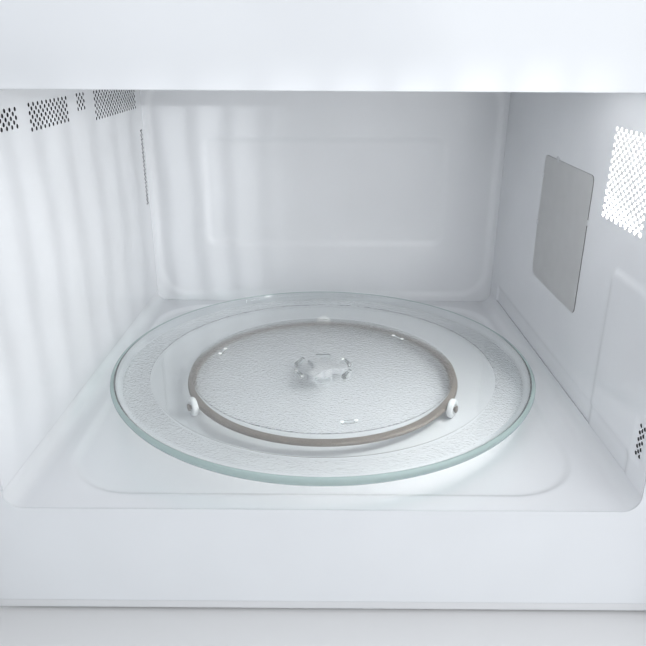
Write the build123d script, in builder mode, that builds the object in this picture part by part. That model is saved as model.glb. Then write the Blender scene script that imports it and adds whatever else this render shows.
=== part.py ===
from build123d import *
import os
from math import cos, sin, radians, hypot

os.makedirs("parts", exist_ok=True)

# Built-in microwave, in millimetres.
# X to the right, Y into the cabinet, Z up. The origin is on the niche floor, in the middle of the width,
# in the plane where the front trim meets the cabinet. The door is modelled open, as it rests.

# Overall sizes
front_width = 595.0
front_height = 388.0
front_bottom = 2.0
body_width = 540.0
body_depth = 402.0
body_top = 374.0
foot_height = 8.0
sheet = 0.8
trim_thickness = 3.0
overrun = 5.0

# Running gaps and fits
run_gap = 0.3
pivot_clearance = 0.05
slide_clearance = 0.35
seam = 0.1

# Cavity
axis_x = -76.0
floor_z = 75.0
cavity_height = 225.0
cavity_depth = 344.0
cavity_half_back = 171.0
cavity_half_front = 179.7
corner_radius = 10.0
axis_from_front = 156.7
recess_depth = 2.0
recess_half_width = 160.0
recess_front_margin = 12.0
recess_back_margin = 14.0
recess_radius = 47.0

body_half = body_width / 2
body_height = body_top - foot_height
body_middle_z = (foot_height + body_top) / 2
front_half = front_width / 2
front_top = front_bottom + front_height
front_middle_z = (front_bottom + front_top) / 2
cavity_front = -trim_thickness
plate_front = cavity_front - sheet
axis_y = cavity_front + axis_from_front
cavity_back = cavity_front + cavity_depth
cavity_top = floor_z + cavity_height
cavity_middle_z = (floor_z + cavity_top) / 2

# Turntable
tray_diameter = 315.0
tray_glass = 4.3
tray_lip_height = 4.0
tray_lip_width = 5.0
tray_disc_radius = 98.0
tray_step = 0.8
roller_diameter = 13.6
roller_width = 4.2
roller_circle_radius = 105.3
axle_radius = 1.5
ring_inner_radius = 96.5
ring_height = 5.0
coupler_lobe_radius = 17.0
coupler_lobe_width = 9.0
coupler_hub_radius = 8.0
coupler_stem_radius = 3.5
lug_circle_radius = 85.0
lug_length = 14.0
lug_width = 4.0
lug_height = 3.0

floor_low = floor_z - recess_depth
roller_radius = roller_diameter / 2
roller_z = floor_low + run_gap + roller_radius
tray_underside = roller_z + roller_radius + run_gap
tray_top = tray_underside + tray_glass
tray_radius = tray_diameter / 2

# Door
door_width = 435.0
door_depth = 22.0
door_gap = 0.5
door_margin = 2.0
door_open_angle = 100.0
glass_thickness = 4.0
hinge_from_edge = 7.5
hinge_from_back = 8.0
hinge_from_bottom = 50.0
hinge_from_top = 52.0
pin_radius = 3.0
pin_length = 26.0
choke_overlap = 2.0
choke_width = 16.0
choke_depth = 12.0
screen_thickness = 0.5
film_thickness = 0.4

door_back = plate_front - door_gap
door_left = door_margin / 2 - front_half
door_right = door_left + door_width
door_height = front_height - 2 * door_margin
door_middle_z = front_middle_z
door_front = door_back - door_depth - glass_thickness
hinge_heights = (front_bottom + hinge_from_bottom, front_top - hinge_from_top)
hinge_x = door_left + hinge_from_edge
hinge_y = door_back - hinge_from_back

# Latch
latch_from_edge = 12.5
hook_above_floor = 13.0
hook_below_roof = 12.0
hook_shank = 8.0
hook_nose = 3.0
hook_nose_length = 6.0
hook_reach = 22.0
hook_thickness = 3.0
hook_lift = 4.0
hook_clearance = 2.5
spring_length = 12.0

latch_x = door_right - latch_from_edge
hook_low_z = floor_z + hook_above_floor
hook_high_z = cavity_top - hook_below_roof
hook_heights = (hook_low_z, hook_high_z)
hook_step = hook_high_z - hook_low_z
hook_middle_z = (hook_low_z + hook_high_z) / 2
hook_tip_y = door_back + hook_reach
hook_bottom_z = hook_low_z - hook_shank / 2 - hook_nose

# Control side
fascia_gap = 2.0
fascia_wall = 2.5
board_setback = 16.0
board_thickness = 1.6
knob_radius = 21.0
knob_depth = 16.0
knob_below_buttons = 86.0
knob_stem_radius = 3.0
control_margin = 26.0
display_height = 44.0
display_from_top = 72.0
button_margin = 23.0
button_gap = 10.0
button_height = 14.0
button_travel = 1.2
button_proud = 1.6
button_step_z = 28.0
buttons_below_display = 82.0
door_button_height = 34.0
door_button_above_bottom = 36.0
door_button_travel = 5.0
door_button_proud = 3.0
door_button_stem = 6.0

fascia_left = door_right + fascia_gap
fascia_right = front_half - door_margin / 2
fascia_width = fascia_right - fascia_left
fascia_x = (fascia_left + fascia_right) / 2
display_width = fascia_width - 2 * control_margin
display_z = front_top - display_from_top
button_width = (fascia_width - 2 * button_margin - button_gap) / 2
button_step_x = button_width + button_gap
buttons_z = display_z - buttons_below_display
knob_z = buttons_z - knob_below_buttons
door_button_width = fascia_width - 2 * control_margin
door_button_z = front_bottom + door_button_above_bottom
fascia_inner = door_front + fascia_wall
board_front = fascia_inner + board_setback
door_stem_x = fascia_x - door_button_width / 3
door_stem_z = door_button_z + door_button_height / 3


def save(piece, name):
    piece.part.label = name
    export_step(piece.part, "parts/" + name + ".step")


def at_y(y):
    return Plane.XZ.offset(-y)


def at_x(x):
    return Plane.YZ.offset(x)


def at_z(z):
    return Plane.XY.offset(z)


def staggered(length, height, pitch_along, pitch_up):
    columns = max(2, int(length / pitch_along))
    rows = max(2, int(height / pitch_up))
    whole = GridLocations(pitch_along, pitch_up, columns, rows)
    between = GridLocations(pitch_along, pitch_up, columns - 1, rows - 1)
    return whole.local_locations + between.local_locations


# The cavity's side walls lean outwards towards the front
lean = (cavity_half_front - cavity_half_back) / cavity_depth
wall_run = hypot(cavity_depth, cavity_half_front - cavity_half_back)
right_wall = Plane(
    origin=(axis_x + cavity_half_front, cavity_front, floor_z), x_dir=(-lean, 1, 0), z_dir=(1, lean, 0)
)
left_wall = Plane(
    origin=(axis_x - cavity_half_front, cavity_front, floor_z), x_dir=(lean, 1, 0), z_dir=(1, -lean, 0)
)
wall_low = corner_radius + sheet


def right_section(from_front):
    return Plane(
        origin=right_wall.from_local_coords(Vector(from_front, 0, 0)), x_dir=(1, lean, 0), z_dir=(lean, -1, 0)
    )


# The door's own planes turn with it about the hinge
door_x_dir = Vector(cos(radians(door_open_angle)), -sin(radians(door_open_angle)), 0)
door_out_dir = Vector(-sin(radians(door_open_angle)), -cos(radians(door_open_angle)), 0)


def door_face(depth):
    origin = Vector(hinge_x, hinge_y, 0) + door_out_dir * (depth - hinge_from_back)
    return Plane(origin=origin, x_dir=door_x_dir, z_dir=door_out_dir)


def door_level(z):
    origin = Vector(hinge_x, hinge_y, z)
    return Plane(origin=origin, x_dir=door_x_dir, z_dir=(0, 0, 1))


door_centre_u = door_width / 2 - hinge_from_edge
choke_centre_u = axis_x - hinge_x
choke_outer_width = 2 * (cavity_half_front - choke_overlap + choke_width)
choke_outer_height = cavity_height + 2 * (choke_width - choke_overlap)
choke_inner_width = choke_outer_width - 2 * choke_width
choke_inner_height = choke_outer_height - 2 * choke_width

# Casing

with BuildPart() as base_plate:
    base_rim = 10.0
    vent_slot_length = 40.0
    vent_slot_width = 4.0
    vent_slot_count = 7
    vent_slot_step = 3 * vent_slot_width
    with BuildSketch(at_z(foot_height)):
        with Locations((0, body_depth / 2)):
            Rectangle(body_width - 2 * sheet, body_depth - 2 * sheet)
        with Locations((body_half / 2, body_depth / 2)):
            with GridLocations(vent_slot_step, 0, vent_slot_count, 1):
                SlotOverall(vent_slot_length, vent_slot_width, rotation=90, mode=Mode.SUBTRACT)
    extrude(amount=sheet)
    with BuildSketch(at_z(foot_height + sheet)):
        with Locations((0, body_depth / 2)):
            Rectangle(body_width - 2 * sheet, body_depth - 2 * sheet)
            Rectangle(body_width - 4 * sheet, body_depth - 4 * sheet, mode=Mode.SUBTRACT)
    extrude(amount=base_rim)
save(base_plate, "base_plate")

with BuildPart() as feet:
    foot_radius = 14.0
    foot_inset = 34.0
    with BuildSketch():
        with Locations((0, body_depth / 2)):
            with GridLocations(body_width - 2 * foot_inset, body_depth - 2 * foot_inset, 2, 2):
                Circle(foot_radius)
    extrude(amount=foot_height)
    chamfer(feet.edges().group_by(Axis.Z)[0], foot_height / 5)
save(feet, "feet")

with BuildPart() as outer_wrapper:
    side_vent_length = 46.0
    side_vent_width = 3.0
    side_vent_count = 9
    with BuildSketch(at_y(0)):
        with Locations((0, body_middle_z)):
            Rectangle(body_width, body_height)
        with Locations((0, body_middle_z - sheet)):
            Rectangle(body_width - 2 * sheet, body_height, mode=Mode.SUBTRACT)
    extrude(amount=-body_depth)
    with BuildSketch(at_x(-body_half)):
        with Locations((2 * body_depth / 3, body_middle_z)):
            with GridLocations(vent_slot_step, 0, side_vent_count, 1):
                SlotOverall(side_vent_length, side_vent_width, rotation=90)
    extrude(amount=body_width, mode=Mode.SUBTRACT)
save(outer_wrapper, "outer_wrapper")

# Places at the back: fan, gland and case screws
fan_from_side = 84.0
fan_x = body_half - fan_from_side
fan_z = 193.0
fan_radius = 46.0
gland_from_side = 46.0
gland_x = body_half - gland_from_side
gland_z = 58.0
gland_radius = 8.0
screw_inset = 18.0
screw_radius = 1.8
screw_clearance = 0.2
screw_head_radius = 3.6
screw_head = 2.2
screw_length = 8.0
back_screws = GridLocations(body_half - screw_inset, body_height - 2 * screw_inset, 3, 2).local_locations

with BuildPart() as back_plate:
    grille_hole = 2.5
    with BuildSketch(at_y(body_depth)):
        with Locations((0, body_middle_z)):
            Rectangle(body_width - 2 * sheet, body_height - 2 * sheet)
            with Locations(*back_screws):
                Circle(screw_radius + screw_clearance, mode=Mode.SUBTRACT)
        with Locations((gland_x, gland_z)):
            Circle(gland_radius + seam, mode=Mode.SUBTRACT)
        with Locations((fan_x, fan_z)):
            for ring in range(2, 6):
                with PolarLocations(fan_radius * ring / 5, 5 * ring):
                    Circle(grille_hole, mode=Mode.SUBTRACT)
        with Locations((-body_half / 2, body_middle_z)):
            with GridLocations(vent_slot_step, 0, vent_slot_count, 1):
                SlotOverall(vent_slot_length, vent_slot_width, rotation=90, mode=Mode.SUBTRACT)
    extrude(amount=sheet)
save(back_plate, "back_plate")

with BuildPart() as cable_gland:
    gland_bore = 3.7
    gland_flange = 3.0
    gland_inside = 8.0
    with BuildSketch(at_y(body_depth)):
        with Locations((gland_x, gland_z)):
            Circle(gland_radius + gland_flange)
    extrude(amount=-gland_flange)
    with BuildSketch(at_y(body_depth)):
        with Locations((gland_x, gland_z)):
            Circle(gland_radius)
    extrude(amount=gland_inside)
    with BuildSketch(at_y(body_depth + gland_flange)):
        with Locations((gland_x, gland_z)):
            Circle(gland_bore)
    extrude(amount=gland_inside + gland_flange, mode=Mode.SUBTRACT)
save(cable_gland, "cable_gland")

with BuildPart() as case_screws:
    with BuildSketch(at_y(body_depth)):
        with Locations((0, body_middle_z)):
            with Locations(*back_screws):
                Circle(screw_head_radius)
    extrude(amount=-screw_head)
    with BuildSketch(at_y(body_depth)):
        with Locations((0, body_middle_z)):
            with Locations(*back_screws):
                Circle(screw_radius)
    extrude(amount=screw_length)
save(case_screws, "case_screws")

# Front plate and trim

with BuildPart() as front_plate:
    latch_slot_width = hook_thickness + 2 * hook_clearance
    latch_slot_height = hook_shank + hook_nose + hook_lift + 2 * hook_clearance
    stem_hole = door_button_stem + 2 * hook_clearance
    with BuildSketch(at_y(cavity_front)):
        with Locations((0, body_middle_z)):
            Rectangle(body_width, body_height)
        with Locations((axis_x, cavity_middle_z)):
            RectangleRounded(2 * cavity_half_front, cavity_height, corner_radius, mode=Mode.SUBTRACT)
        with Locations((latch_x, hook_middle_z)):
            with GridLocations(0, hook_step, 1, 2):
                Rectangle(latch_slot_width, latch_slot_height, mode=Mode.SUBTRACT)
        with Locations((door_stem_x, door_stem_z)):
            Rectangle(stem_hole, stem_hole, mode=Mode.SUBTRACT)
    extrude(amount=sheet)
save(front_plate, "front_plate")

with BuildPart() as trim_frame:
    trim_land = 6.0
    fixing_radius = 2.25
    fixing_inset = 13.5
    fixing_step_z = 200.0
    with BuildSketch(at_y(0)):
        with Locations((0, front_middle_z)):
            Rectangle(front_width, front_height)
        with Locations((0, body_middle_z)):
            Rectangle(body_width - 2 * trim_land, body_height - 2 * trim_land, mode=Mode.SUBTRACT)
        with Locations((0, front_middle_z)):
            with GridLocations(front_width - 2 * fixing_inset, fixing_step_z, 2, 2):
                Circle(fixing_radius, mode=Mode.SUBTRACT)
    extrude(amount=trim_thickness)
save(trim_frame, "trim_frame")

# Cavity

floor_outline = [
    (axis_x - cavity_half_front, cavity_front),
    (axis_x + cavity_half_front, cavity_front),
    (axis_x + cavity_half_back, cavity_back),
    (axis_x - cavity_half_back, cavity_back),
]
recess_length = cavity_depth - recess_front_margin - recess_back_margin
recess_y = cavity_front + recess_front_margin + recess_length / 2
coupler_hole = coupler_hub_radius / 2 + coupler_stem_radius

with BuildPart() as cavity_floor:
    with BuildSketch(at_z(floor_z)):
        with BuildLine():
            Polyline(*floor_outline, close=True)
        make_face()
    extrude(amount=wall_low)
    low_edges = cavity_floor.edges().group_by(Axis.Z)[0]
    side_edges = low_edges.filter_by(lambda edge: abs(edge.tangent_at(0).Y) > abs(edge.tangent_at(0).X))
    fillet(side_edges, corner_radius)
    mouths = cavity_floor.faces().sort_by(Axis.Y)
    offset(
        amount=sheet,
        openings=[cavity_floor.faces().sort_by(Axis.Z)[-1], mouths[0], mouths[-1]],
        kind=Kind.INTERSECTION,
    )
    with BuildSketch(at_z(floor_z - sheet)):
        with Locations((axis_x, recess_y)):
            RectangleRounded(
                2 * (recess_half_width + sheet), recess_length + 2 * sheet, recess_radius + sheet
            )
    extrude(amount=-recess_depth)
    with BuildSketch(at_z(floor_z)):
        with Locations((axis_x, recess_y)):
            RectangleRounded(2 * recess_half_width, recess_length, recess_radius)
    extrude(amount=-recess_depth, mode=Mode.SUBTRACT)
    with BuildSketch(at_z(floor_z)):
        with Locations((axis_x, axis_y)):
            Circle(coupler_hole)
    extrude(amount=-overrun, mode=Mode.SUBTRACT)
save(cavity_floor, "cavity_floor")

hole_pitch_along = 6.5
hole_pitch_up = 5.3

with BuildPart() as cavity_left_wall:
    vent_hole = 1.4
    vent_top = 214.0
    # Each vent patch: middle and length as shares of the wall's run, lowest edge as a share of its height
    vent_patch_shares = [
        (0.166, 0.157, 0.867),
        (0.392, 0.163, 0.853),
        (0.555, 0.041, 0.880),
        (0.782, 0.314, 0.836),
    ]
    fine_hole = 0.7
    fine_pitch = 2.6
    fine_width = 6.0
    fine_bottom = 100.0
    fine_top = 172.0
    fine_from_back = 7.0
    with BuildSketch(left_wall):
        with Locations((wall_run / 2, (wall_low + cavity_height) / 2)):
            Rectangle(wall_run - 2 * seam, cavity_height - wall_low)
        for middle_share, length_share, low_share in vent_patch_shares:
            patch_low = low_share * cavity_height
            patch_length = length_share * wall_run
            holes = staggered(patch_length, vent_top - patch_low, hole_pitch_along, hole_pitch_up)
            with Locations((middle_share * wall_run, (patch_low + vent_top) / 2)):
                with Locations(*holes):
                    Circle(vent_hole, mode=Mode.SUBTRACT)
        with Locations((wall_run - fine_from_back, (fine_bottom + fine_top) / 2)):
            with Locations(*staggered(fine_width, fine_top - fine_bottom, fine_pitch, fine_pitch)):
                Circle(fine_hole, mode=Mode.SUBTRACT)
    extrude(amount=-sheet)
save(cavity_left_wall, "cavity_left_wall")

mica_width = 97.0
mica_height = 95.0
mica_thickness = 0.5
mica_margin = 10.0
mica_from_front = 178.0
mica_above_floor = 118.0
mica_radius = 5.0
lamp_hole = 1.5
lamp_patch = 60.0
lamp_from_front = 82.0
lamp_above_floor = 172.0

with BuildPart() as cavity_right_wall:
    low_vent_hole = 1.2
    low_vent_pitch = 4.4
    low_vent_columns = 4
    low_vent_rows = 7
    low_vent_from_front = 11.0
    low_vent_above_floor = 37.0
    with BuildSketch(right_wall):
        with Locations((wall_run / 2, (wall_low + cavity_height) / 2)):
            Rectangle(wall_run - 2 * seam, cavity_height - wall_low)
        with Locations((mica_from_front, mica_above_floor)):
            Rectangle(mica_width - 2 * mica_margin, mica_height - 2 * mica_margin, mode=Mode.SUBTRACT)
        with Locations((lamp_from_front, lamp_above_floor)):
            with Locations(*staggered(lamp_patch, lamp_patch, hole_pitch_along, hole_pitch_up)):
                Circle(lamp_hole, mode=Mode.SUBTRACT)
        with Locations((low_vent_from_front, low_vent_above_floor)):
            with GridLocations(low_vent_pitch, low_vent_pitch, low_vent_columns, low_vent_rows):
                Circle(low_vent_hole, mode=Mode.SUBTRACT)
    extrude(amount=sheet)
save(cavity_right_wall, "cavity_right_wall")

with BuildPart() as cavity_back_wall:
    emboss = 3.0
    emboss_width = 232.0
    emboss_height = 108.0
    emboss_radius = 12.0
    emboss_above_floor = 111.0
    with BuildSketch(at_y(cavity_back)):
        with Locations((axis_x, cavity_middle_z)):
            Rectangle(2 * (cavity_half_back + sheet), cavity_height + 2 * sheet)
    extrude(amount=-sheet)
    with BuildSketch(at_y(cavity_back + sheet)):
        with Locations((axis_x, floor_z + emboss_above_floor)):
            RectangleRounded(emboss_width + 2 * sheet, emboss_height + 2 * sheet, emboss_radius + sheet)
    extrude(amount=-emboss)
    with BuildSketch(at_y(cavity_back)):
        with Locations((axis_x, floor_z + emboss_above_floor)):
            RectangleRounded(emboss_width, emboss_height, emboss_radius)
    extrude(amount=-emboss, mode=Mode.SUBTRACT)
save(cavity_back_wall, "cavity_back_wall")

with BuildPart() as cavity_roof:
    with BuildSketch(at_z(cavity_top)):
        with BuildLine():
            Polyline(*floor_outline, close=True)
        make_face()
        offset(amount=sheet, kind=Kind.INTERSECTION)
        with Locations((axis_x, cavity_front)):
            Rectangle(3 * cavity_half_front, 2 * sheet, align=(Align.CENTER, Align.MAX), mode=Mode.SUBTRACT)
        with Locations((axis_x, cavity_back)):
            Rectangle(3 * cavity_half_front, 2 * sheet, align=(Align.CENTER, Align.MIN), mode=Mode.SUBTRACT)
    extrude(amount=sheet)
save(cavity_roof, "cavity_roof")

# Microwave source

guide_length = mica_width + 2 * mica_margin
guide_height = mica_height + mica_margin
guide_depth = 38.0
guide_wall = 1.0
antenna_radius = 8.0
yoke_depth = 78.0
yoke_height = 72.0
yoke_length = 60.0
yoke_wall = 1.5
guide_face = right_wall.offset(sheet + guide_depth)

with BuildPart() as waveguide_cover:
    with BuildSketch(right_wall):
        with Locations((mica_from_front, mica_above_floor)):
            RectangleRounded(mica_width, mica_height, mica_radius)
    extrude(amount=-mica_thickness)
save(waveguide_cover, "waveguide_cover")

with BuildPart() as waveguide:
    with BuildSketch(right_wall.offset(sheet)):
        with Locations((mica_from_front, mica_above_floor)):
            Rectangle(guide_length, guide_height)
    extrude(amount=guide_depth)
    with BuildSketch(right_wall.offset(sheet)):
        with Locations((mica_from_front, mica_above_floor)):
            Rectangle(guide_length - 2 * guide_wall, guide_height - 2 * guide_wall)
    extrude(amount=guide_depth - guide_wall, mode=Mode.SUBTRACT)
    with BuildSketch(guide_face):
        with Locations((mica_from_front, mica_above_floor)):
            Circle(antenna_radius + guide_wall)
    extrude(amount=-overrun, mode=Mode.SUBTRACT)
save(waveguide, "waveguide")

with BuildPart() as magnetron_body:
    anode_radius = 19.0
    fin_count = 7
    fin_thickness = 0.6
    fin_step = yoke_depth / (fin_count + 1)
    with BuildSketch(right_section(mica_from_front - yoke_length / 2)):
        with Locations((sheet + guide_depth + yoke_depth / 2, mica_above_floor)):
            Rectangle(yoke_depth, yoke_height)
            Rectangle(yoke_depth - 2 * yoke_wall, yoke_height - 2 * yoke_wall, mode=Mode.SUBTRACT)
    extrude(amount=-yoke_length)
    for fin in range(fin_count):
        with BuildSketch(guide_face.offset((fin + 1) * fin_step)):
            with Locations((mica_from_front, mica_above_floor)):
                Rectangle(yoke_length, yoke_height - yoke_wall)
        extrude(amount=fin_thickness)
    with BuildSketch(guide_face.offset(yoke_wall)):
        with Locations((mica_from_front, mica_above_floor)):
            Circle(anode_radius)
    extrude(amount=yoke_depth - 2 * yoke_wall)
save(magnetron_body, "magnetron_body")

with BuildPart() as magnetron_antenna:
    antenna_length = 26.0
    with BuildSketch(guide_face):
        with Locations((mica_from_front, mica_above_floor)):
            Circle(antenna_radius)
    extrude(amount=-antenna_length)
    fillet(magnetron_antenna.edges().group_by(Axis.X)[0], antenna_radius / 2)
save(magnetron_antenna, "magnetron_antenna")

base_top = foot_height + sheet
core_from_side = 74.0
core_x = body_half - core_from_side
core_y = 92.0
core_width = 96.0
core_height = 80.0
core_stack = 56.0
core_limb = 16.0
core_strap = 12.0

with BuildPart() as transformer_core:
    window_width = (core_width - 4 * core_limb) / 2
    with BuildSketch(at_y(core_y - core_stack / 2)):
        with Locations((core_x, base_top + core_height / 2)):
            Rectangle(core_width, core_height)
            with GridLocations(2 * core_limb + window_width, 0, 2, 1):
                Rectangle(window_width, core_height - 2 * core_limb, mode=Mode.SUBTRACT)
        with Locations((core_x, base_top + trim_thickness / 2)):
            Rectangle(core_width + 2 * core_strap, trim_thickness)
    extrude(amount=-core_stack)
save(transformer_core, "transformer_core")

with BuildPart() as transformer_coils:
    coil_height_share = 0.44
    coil_step_share = 1.12
    coil_height = (core_height - 2 * core_limb) * coil_height_share
    coil_step = coil_height * coil_step_share
    coil_wrap = window_width - 2 * run_gap
    coil_low = base_top + core_height / 2 - coil_step / 2 - coil_height / 2
    for level in range(2):
        with BuildSketch(at_z(coil_low + level * coil_step)):
            with Locations((core_x, core_y)):
                RectangleRounded(
                    2 * (core_limb + run_gap + coil_wrap), core_stack + 2 * coil_wrap, coil_wrap / 2
                )
                Rectangle(2 * (core_limb + run_gap), core_stack + 2 * run_gap, mode=Mode.SUBTRACT)
        extrude(amount=coil_height)
save(transformer_coils, "transformer_coils")

can_from_side = 120.0
can_from_back = 116.0
can_x = body_half - can_from_side
can_y = body_depth - can_from_back
can_length = 53.0
can_width = 33.0
can_height = 96.0

with BuildPart() as capacitor:
    with BuildSketch(at_z(base_top)):
        with Locations((can_x, can_y)):
            SlotOverall(can_length, can_width)
    extrude(amount=can_height)
    fillet(capacitor.edges().group_by(Axis.Z)[-1], can_width / 10)
    tab_width = 6.0
    with BuildSketch(at_z(base_top + can_height)):
        with Locations((can_x, can_y)):
            with GridLocations(can_length / 2, 0, 2, 1):
                Rectangle(tab_width, sheet)
    extrude(amount=2 * tab_width)
save(capacitor, "capacitor")

with BuildPart() as capacitor_clamp:
    clamp_foot = 18.0
    clamp_height = 14.0
    with BuildSketch(at_z(base_top)):
        with Locations((can_x, can_y)):
            SlotOverall(can_length + 2 * sheet, can_width + 2 * sheet)
        with Locations((can_x + can_length / 2 + clamp_foot / 2, can_y)):
            Rectangle(clamp_foot, can_width / 2)
        with Locations((can_x, can_y)):
            SlotOverall(can_length, can_width, mode=Mode.SUBTRACT)
    extrude(amount=sheet)
    with BuildSketch(at_z(base_top)):
        with Locations((can_x, can_y)):
            SlotOverall(can_length + 2 * sheet, can_width + 2 * sheet)
            SlotOverall(can_length, can_width, mode=Mode.SUBTRACT)
    extrude(amount=clamp_height)
save(capacitor_clamp, "capacitor_clamp")

with BuildPart() as hv_diode:
    diode_radius = 3.5
    diode_length = 20.0
    with BuildSketch(at_x(can_x + can_length / 2 + clamp_foot + diode_radius - diode_length / 2)):
        with Locations((can_y, base_top + sheet + diode_radius)):
            Circle(diode_radius)
    extrude(amount=diode_length)
save(hv_diode, "hv_diode")

# Fan

fan_from_back = 50.0
fan_ring_y = body_depth - fan_from_back
fan_ring_depth = 28.0
fan_ring_wall = 2.0
fan_tip_gap = 1.5
fan_post_radius = 3.0
fan_post_step = 90.0
fan_shaft_radius = 1.5
fan_motor_radius = 20.0
fan_plate_y = fan_ring_y + fan_ring_depth

with BuildPart() as fan_shroud:
    with BuildSketch(at_y(fan_plate_y)):
        with Locations((fan_x, fan_z)):
            Rectangle(fan_post_step + 4 * fan_post_radius, fan_post_step + 4 * fan_post_radius)
            Circle(fan_radius + fan_tip_gap, mode=Mode.SUBTRACT)
            Rectangle(2 * (fan_radius + fan_ring_wall), fan_motor_radius)
    extrude(amount=-fan_ring_wall)
    with BuildSketch(at_y(fan_ring_y)):
        with Locations((fan_x, fan_z)):
            Circle(fan_radius + fan_tip_gap + fan_ring_wall)
            Circle(fan_radius + fan_tip_gap, mode=Mode.SUBTRACT)
    extrude(amount=-fan_ring_depth)
    with BuildSketch(at_y(fan_plate_y)):
        with Locations((fan_x, fan_z)):
            with GridLocations(fan_post_step, fan_post_step, 2, 2):
                Circle(fan_post_radius)
    extrude(amount=-(body_depth - sheet - fan_plate_y))
    with BuildSketch(at_y(fan_plate_y + fan_ring_wall)):
        with Locations((fan_x, fan_z)):
            Circle(2 * fan_shaft_radius)
    extrude(amount=overrun, mode=Mode.SUBTRACT)
save(fan_shroud, "fan_shroud")

with BuildPart() as fan_motor:
    fan_motor_depth = 14.0
    with BuildSketch(at_y(fan_plate_y + fan_ring_wall)):
        with Locations((fan_x, fan_z)):
            Circle(fan_motor_radius)
            Circle(fan_shaft_radius + pivot_clearance, mode=Mode.SUBTRACT)
    extrude(amount=-fan_motor_depth)
save(fan_motor, "fan_motor")

with BuildPart() as fan_blade:
    blade_count = 7
    blade_thickness = 1.6
    blade_chord = 26.0
    blade_pitch = 30.0
    blade_root = 10.0
    blade_length = fan_radius - blade_root
    hub_depth = 18.0
    hub_y = fan_plate_y - fan_ring_wall - run_gap
    with BuildSketch(at_y(hub_y)):
        with Locations((fan_x, fan_z)):
            Circle(blade_root + blade_thickness)
    extrude(amount=hub_depth)
    for blade in range(blade_count):
        turn = 360 / blade_count * blade
        spoke = Vector(cos(radians(turn)), 0, sin(radians(turn)))
        side = Vector(-sin(radians(turn)), 0, cos(radians(turn)))
        chord_dir = side * cos(radians(blade_pitch)) + Vector(0, 1, 0) * sin(radians(blade_pitch))
        blade_origin = Vector(fan_x, hub_y - hub_depth / 2, fan_z) + spoke * blade_root
        with BuildSketch(Plane(origin=blade_origin, x_dir=chord_dir, z_dir=spoke)):
            SlotOverall(blade_chord, blade_thickness)
        extrude(amount=blade_length - fan_tip_gap)
    with BuildSketch(at_y(hub_y - blade_thickness)):
        with Locations((fan_x, fan_z)):
            Circle(fan_shaft_radius)
    extrude(amount=-(fan_motor_depth + 2 * fan_ring_wall))
save(fan_blade, "fan_blade")

# Turntable drive, rollers and tray

with BuildPart() as turntable_motor:
    motor_radius = 24.5
    motor_height = 18.0
    ear_length = 64.0
    ear_width = 12.0
    motor_top = floor_low - sheet
    with BuildSketch(at_z(motor_top)):
        with Locations((axis_x, axis_y)):
            Circle(motor_radius)
            Circle(coupler_stem_radius + pivot_clearance, mode=Mode.SUBTRACT)
    extrude(amount=-motor_height)
    with BuildSketch(at_z(motor_top)):
        with Locations((axis_x, axis_y)):
            SlotOverall(ear_length, ear_width)
            Circle(motor_radius, mode=Mode.SUBTRACT)
    extrude(amount=-sheet)
save(turntable_motor, "turntable_motor")

head_top = tray_underside - run_gap
head_height = 5.0
with BuildPart() as drive_coupler:
    with BuildSketch(at_z(floor_low + run_gap)):
        with Locations((axis_x, axis_y)):
            Circle(coupler_hub_radius)
    extrude(amount=head_top - floor_low - run_gap)
    with BuildSketch(at_z(head_top)):
        with Locations((axis_x, axis_y)):
            with PolarLocations(coupler_lobe_radius / 2, 3):
                SlotOverall(coupler_lobe_radius + coupler_lobe_width / 2, coupler_lobe_width)
    extrude(amount=-head_height)
    with BuildSketch(at_z(floor_low + run_gap)):
        with Locations((axis_x, axis_y)):
            Circle(coupler_stem_radius)
    extrude(amount=-(run_gap + sheet + motor_height / 2))
save(drive_coupler, "drive_coupler")

with BuildPart() as glass_tray:
    lip_top = tray_top + tray_lip_height
    lip_inner = tray_radius - tray_lip_width
    lip_slope = tray_lip_height
    with BuildSketch(at_y(axis_y)):
        with BuildLine():
            Polyline(
                (axis_x, tray_underside),
                (axis_x + tray_radius - tray_lip_width - lip_slope, tray_underside),
                (axis_x + tray_radius - tray_lip_width / 5, tray_underside + tray_lip_height),
                (axis_x + tray_radius, lip_top - tray_lip_width / 3),
                (axis_x + tray_radius - tray_lip_width / 3, lip_top),
                (axis_x + lip_inner + tray_lip_width / 5, lip_top - tray_lip_width / 5),
                (axis_x + lip_inner - lip_slope, tray_top),
                (axis_x + tray_disc_radius, tray_top),
                (axis_x + tray_disc_radius - tray_step, tray_top - tray_step),
                (axis_x, tray_top - tray_step),
                close=True,
            )
        make_face()
    revolve(axis=Axis((axis_x, axis_y, 0), (0, 0, 1)))
    socket_radius = coupler_lobe_radius + coupler_lobe_width / 2 + lug_width
    socket_gap = 2 * run_gap
    with BuildSketch(at_z(tray_underside)):
        with Locations((axis_x, axis_y)):
            Circle(socket_radius)
            Circle(coupler_hub_radius + socket_gap, mode=Mode.SUBTRACT)
            with PolarLocations(coupler_lobe_radius / 2, 3):
                SlotOverall(
                    coupler_lobe_radius + coupler_lobe_width / 2 + 2 * socket_gap,
                    coupler_lobe_width + 2 * socket_gap,
                    mode=Mode.SUBTRACT,
                )
    extrude(amount=-head_height)
    lug_turn = 42.0
    with BuildSketch(at_z(tray_underside)):
        with Locations((axis_x, axis_y)):
            with PolarLocations(lug_circle_radius, 3, start_angle=lug_turn):
                SlotOverall(lug_length, lug_width, rotation=90)
    extrude(amount=-lug_height)
save(glass_tray, "glass_tray")

roller_turns = {"roller_rear": 90.0, "roller_left": 210.0, "roller_right": 330.0}
roller_inner_face = roller_circle_radius - roller_width / 2
ring_outer_radius = roller_inner_face - run_gap
roller_outer_face = roller_circle_radius + roller_width / 2
axle_head_radius = 2.6
axle_head = 1.4


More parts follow.
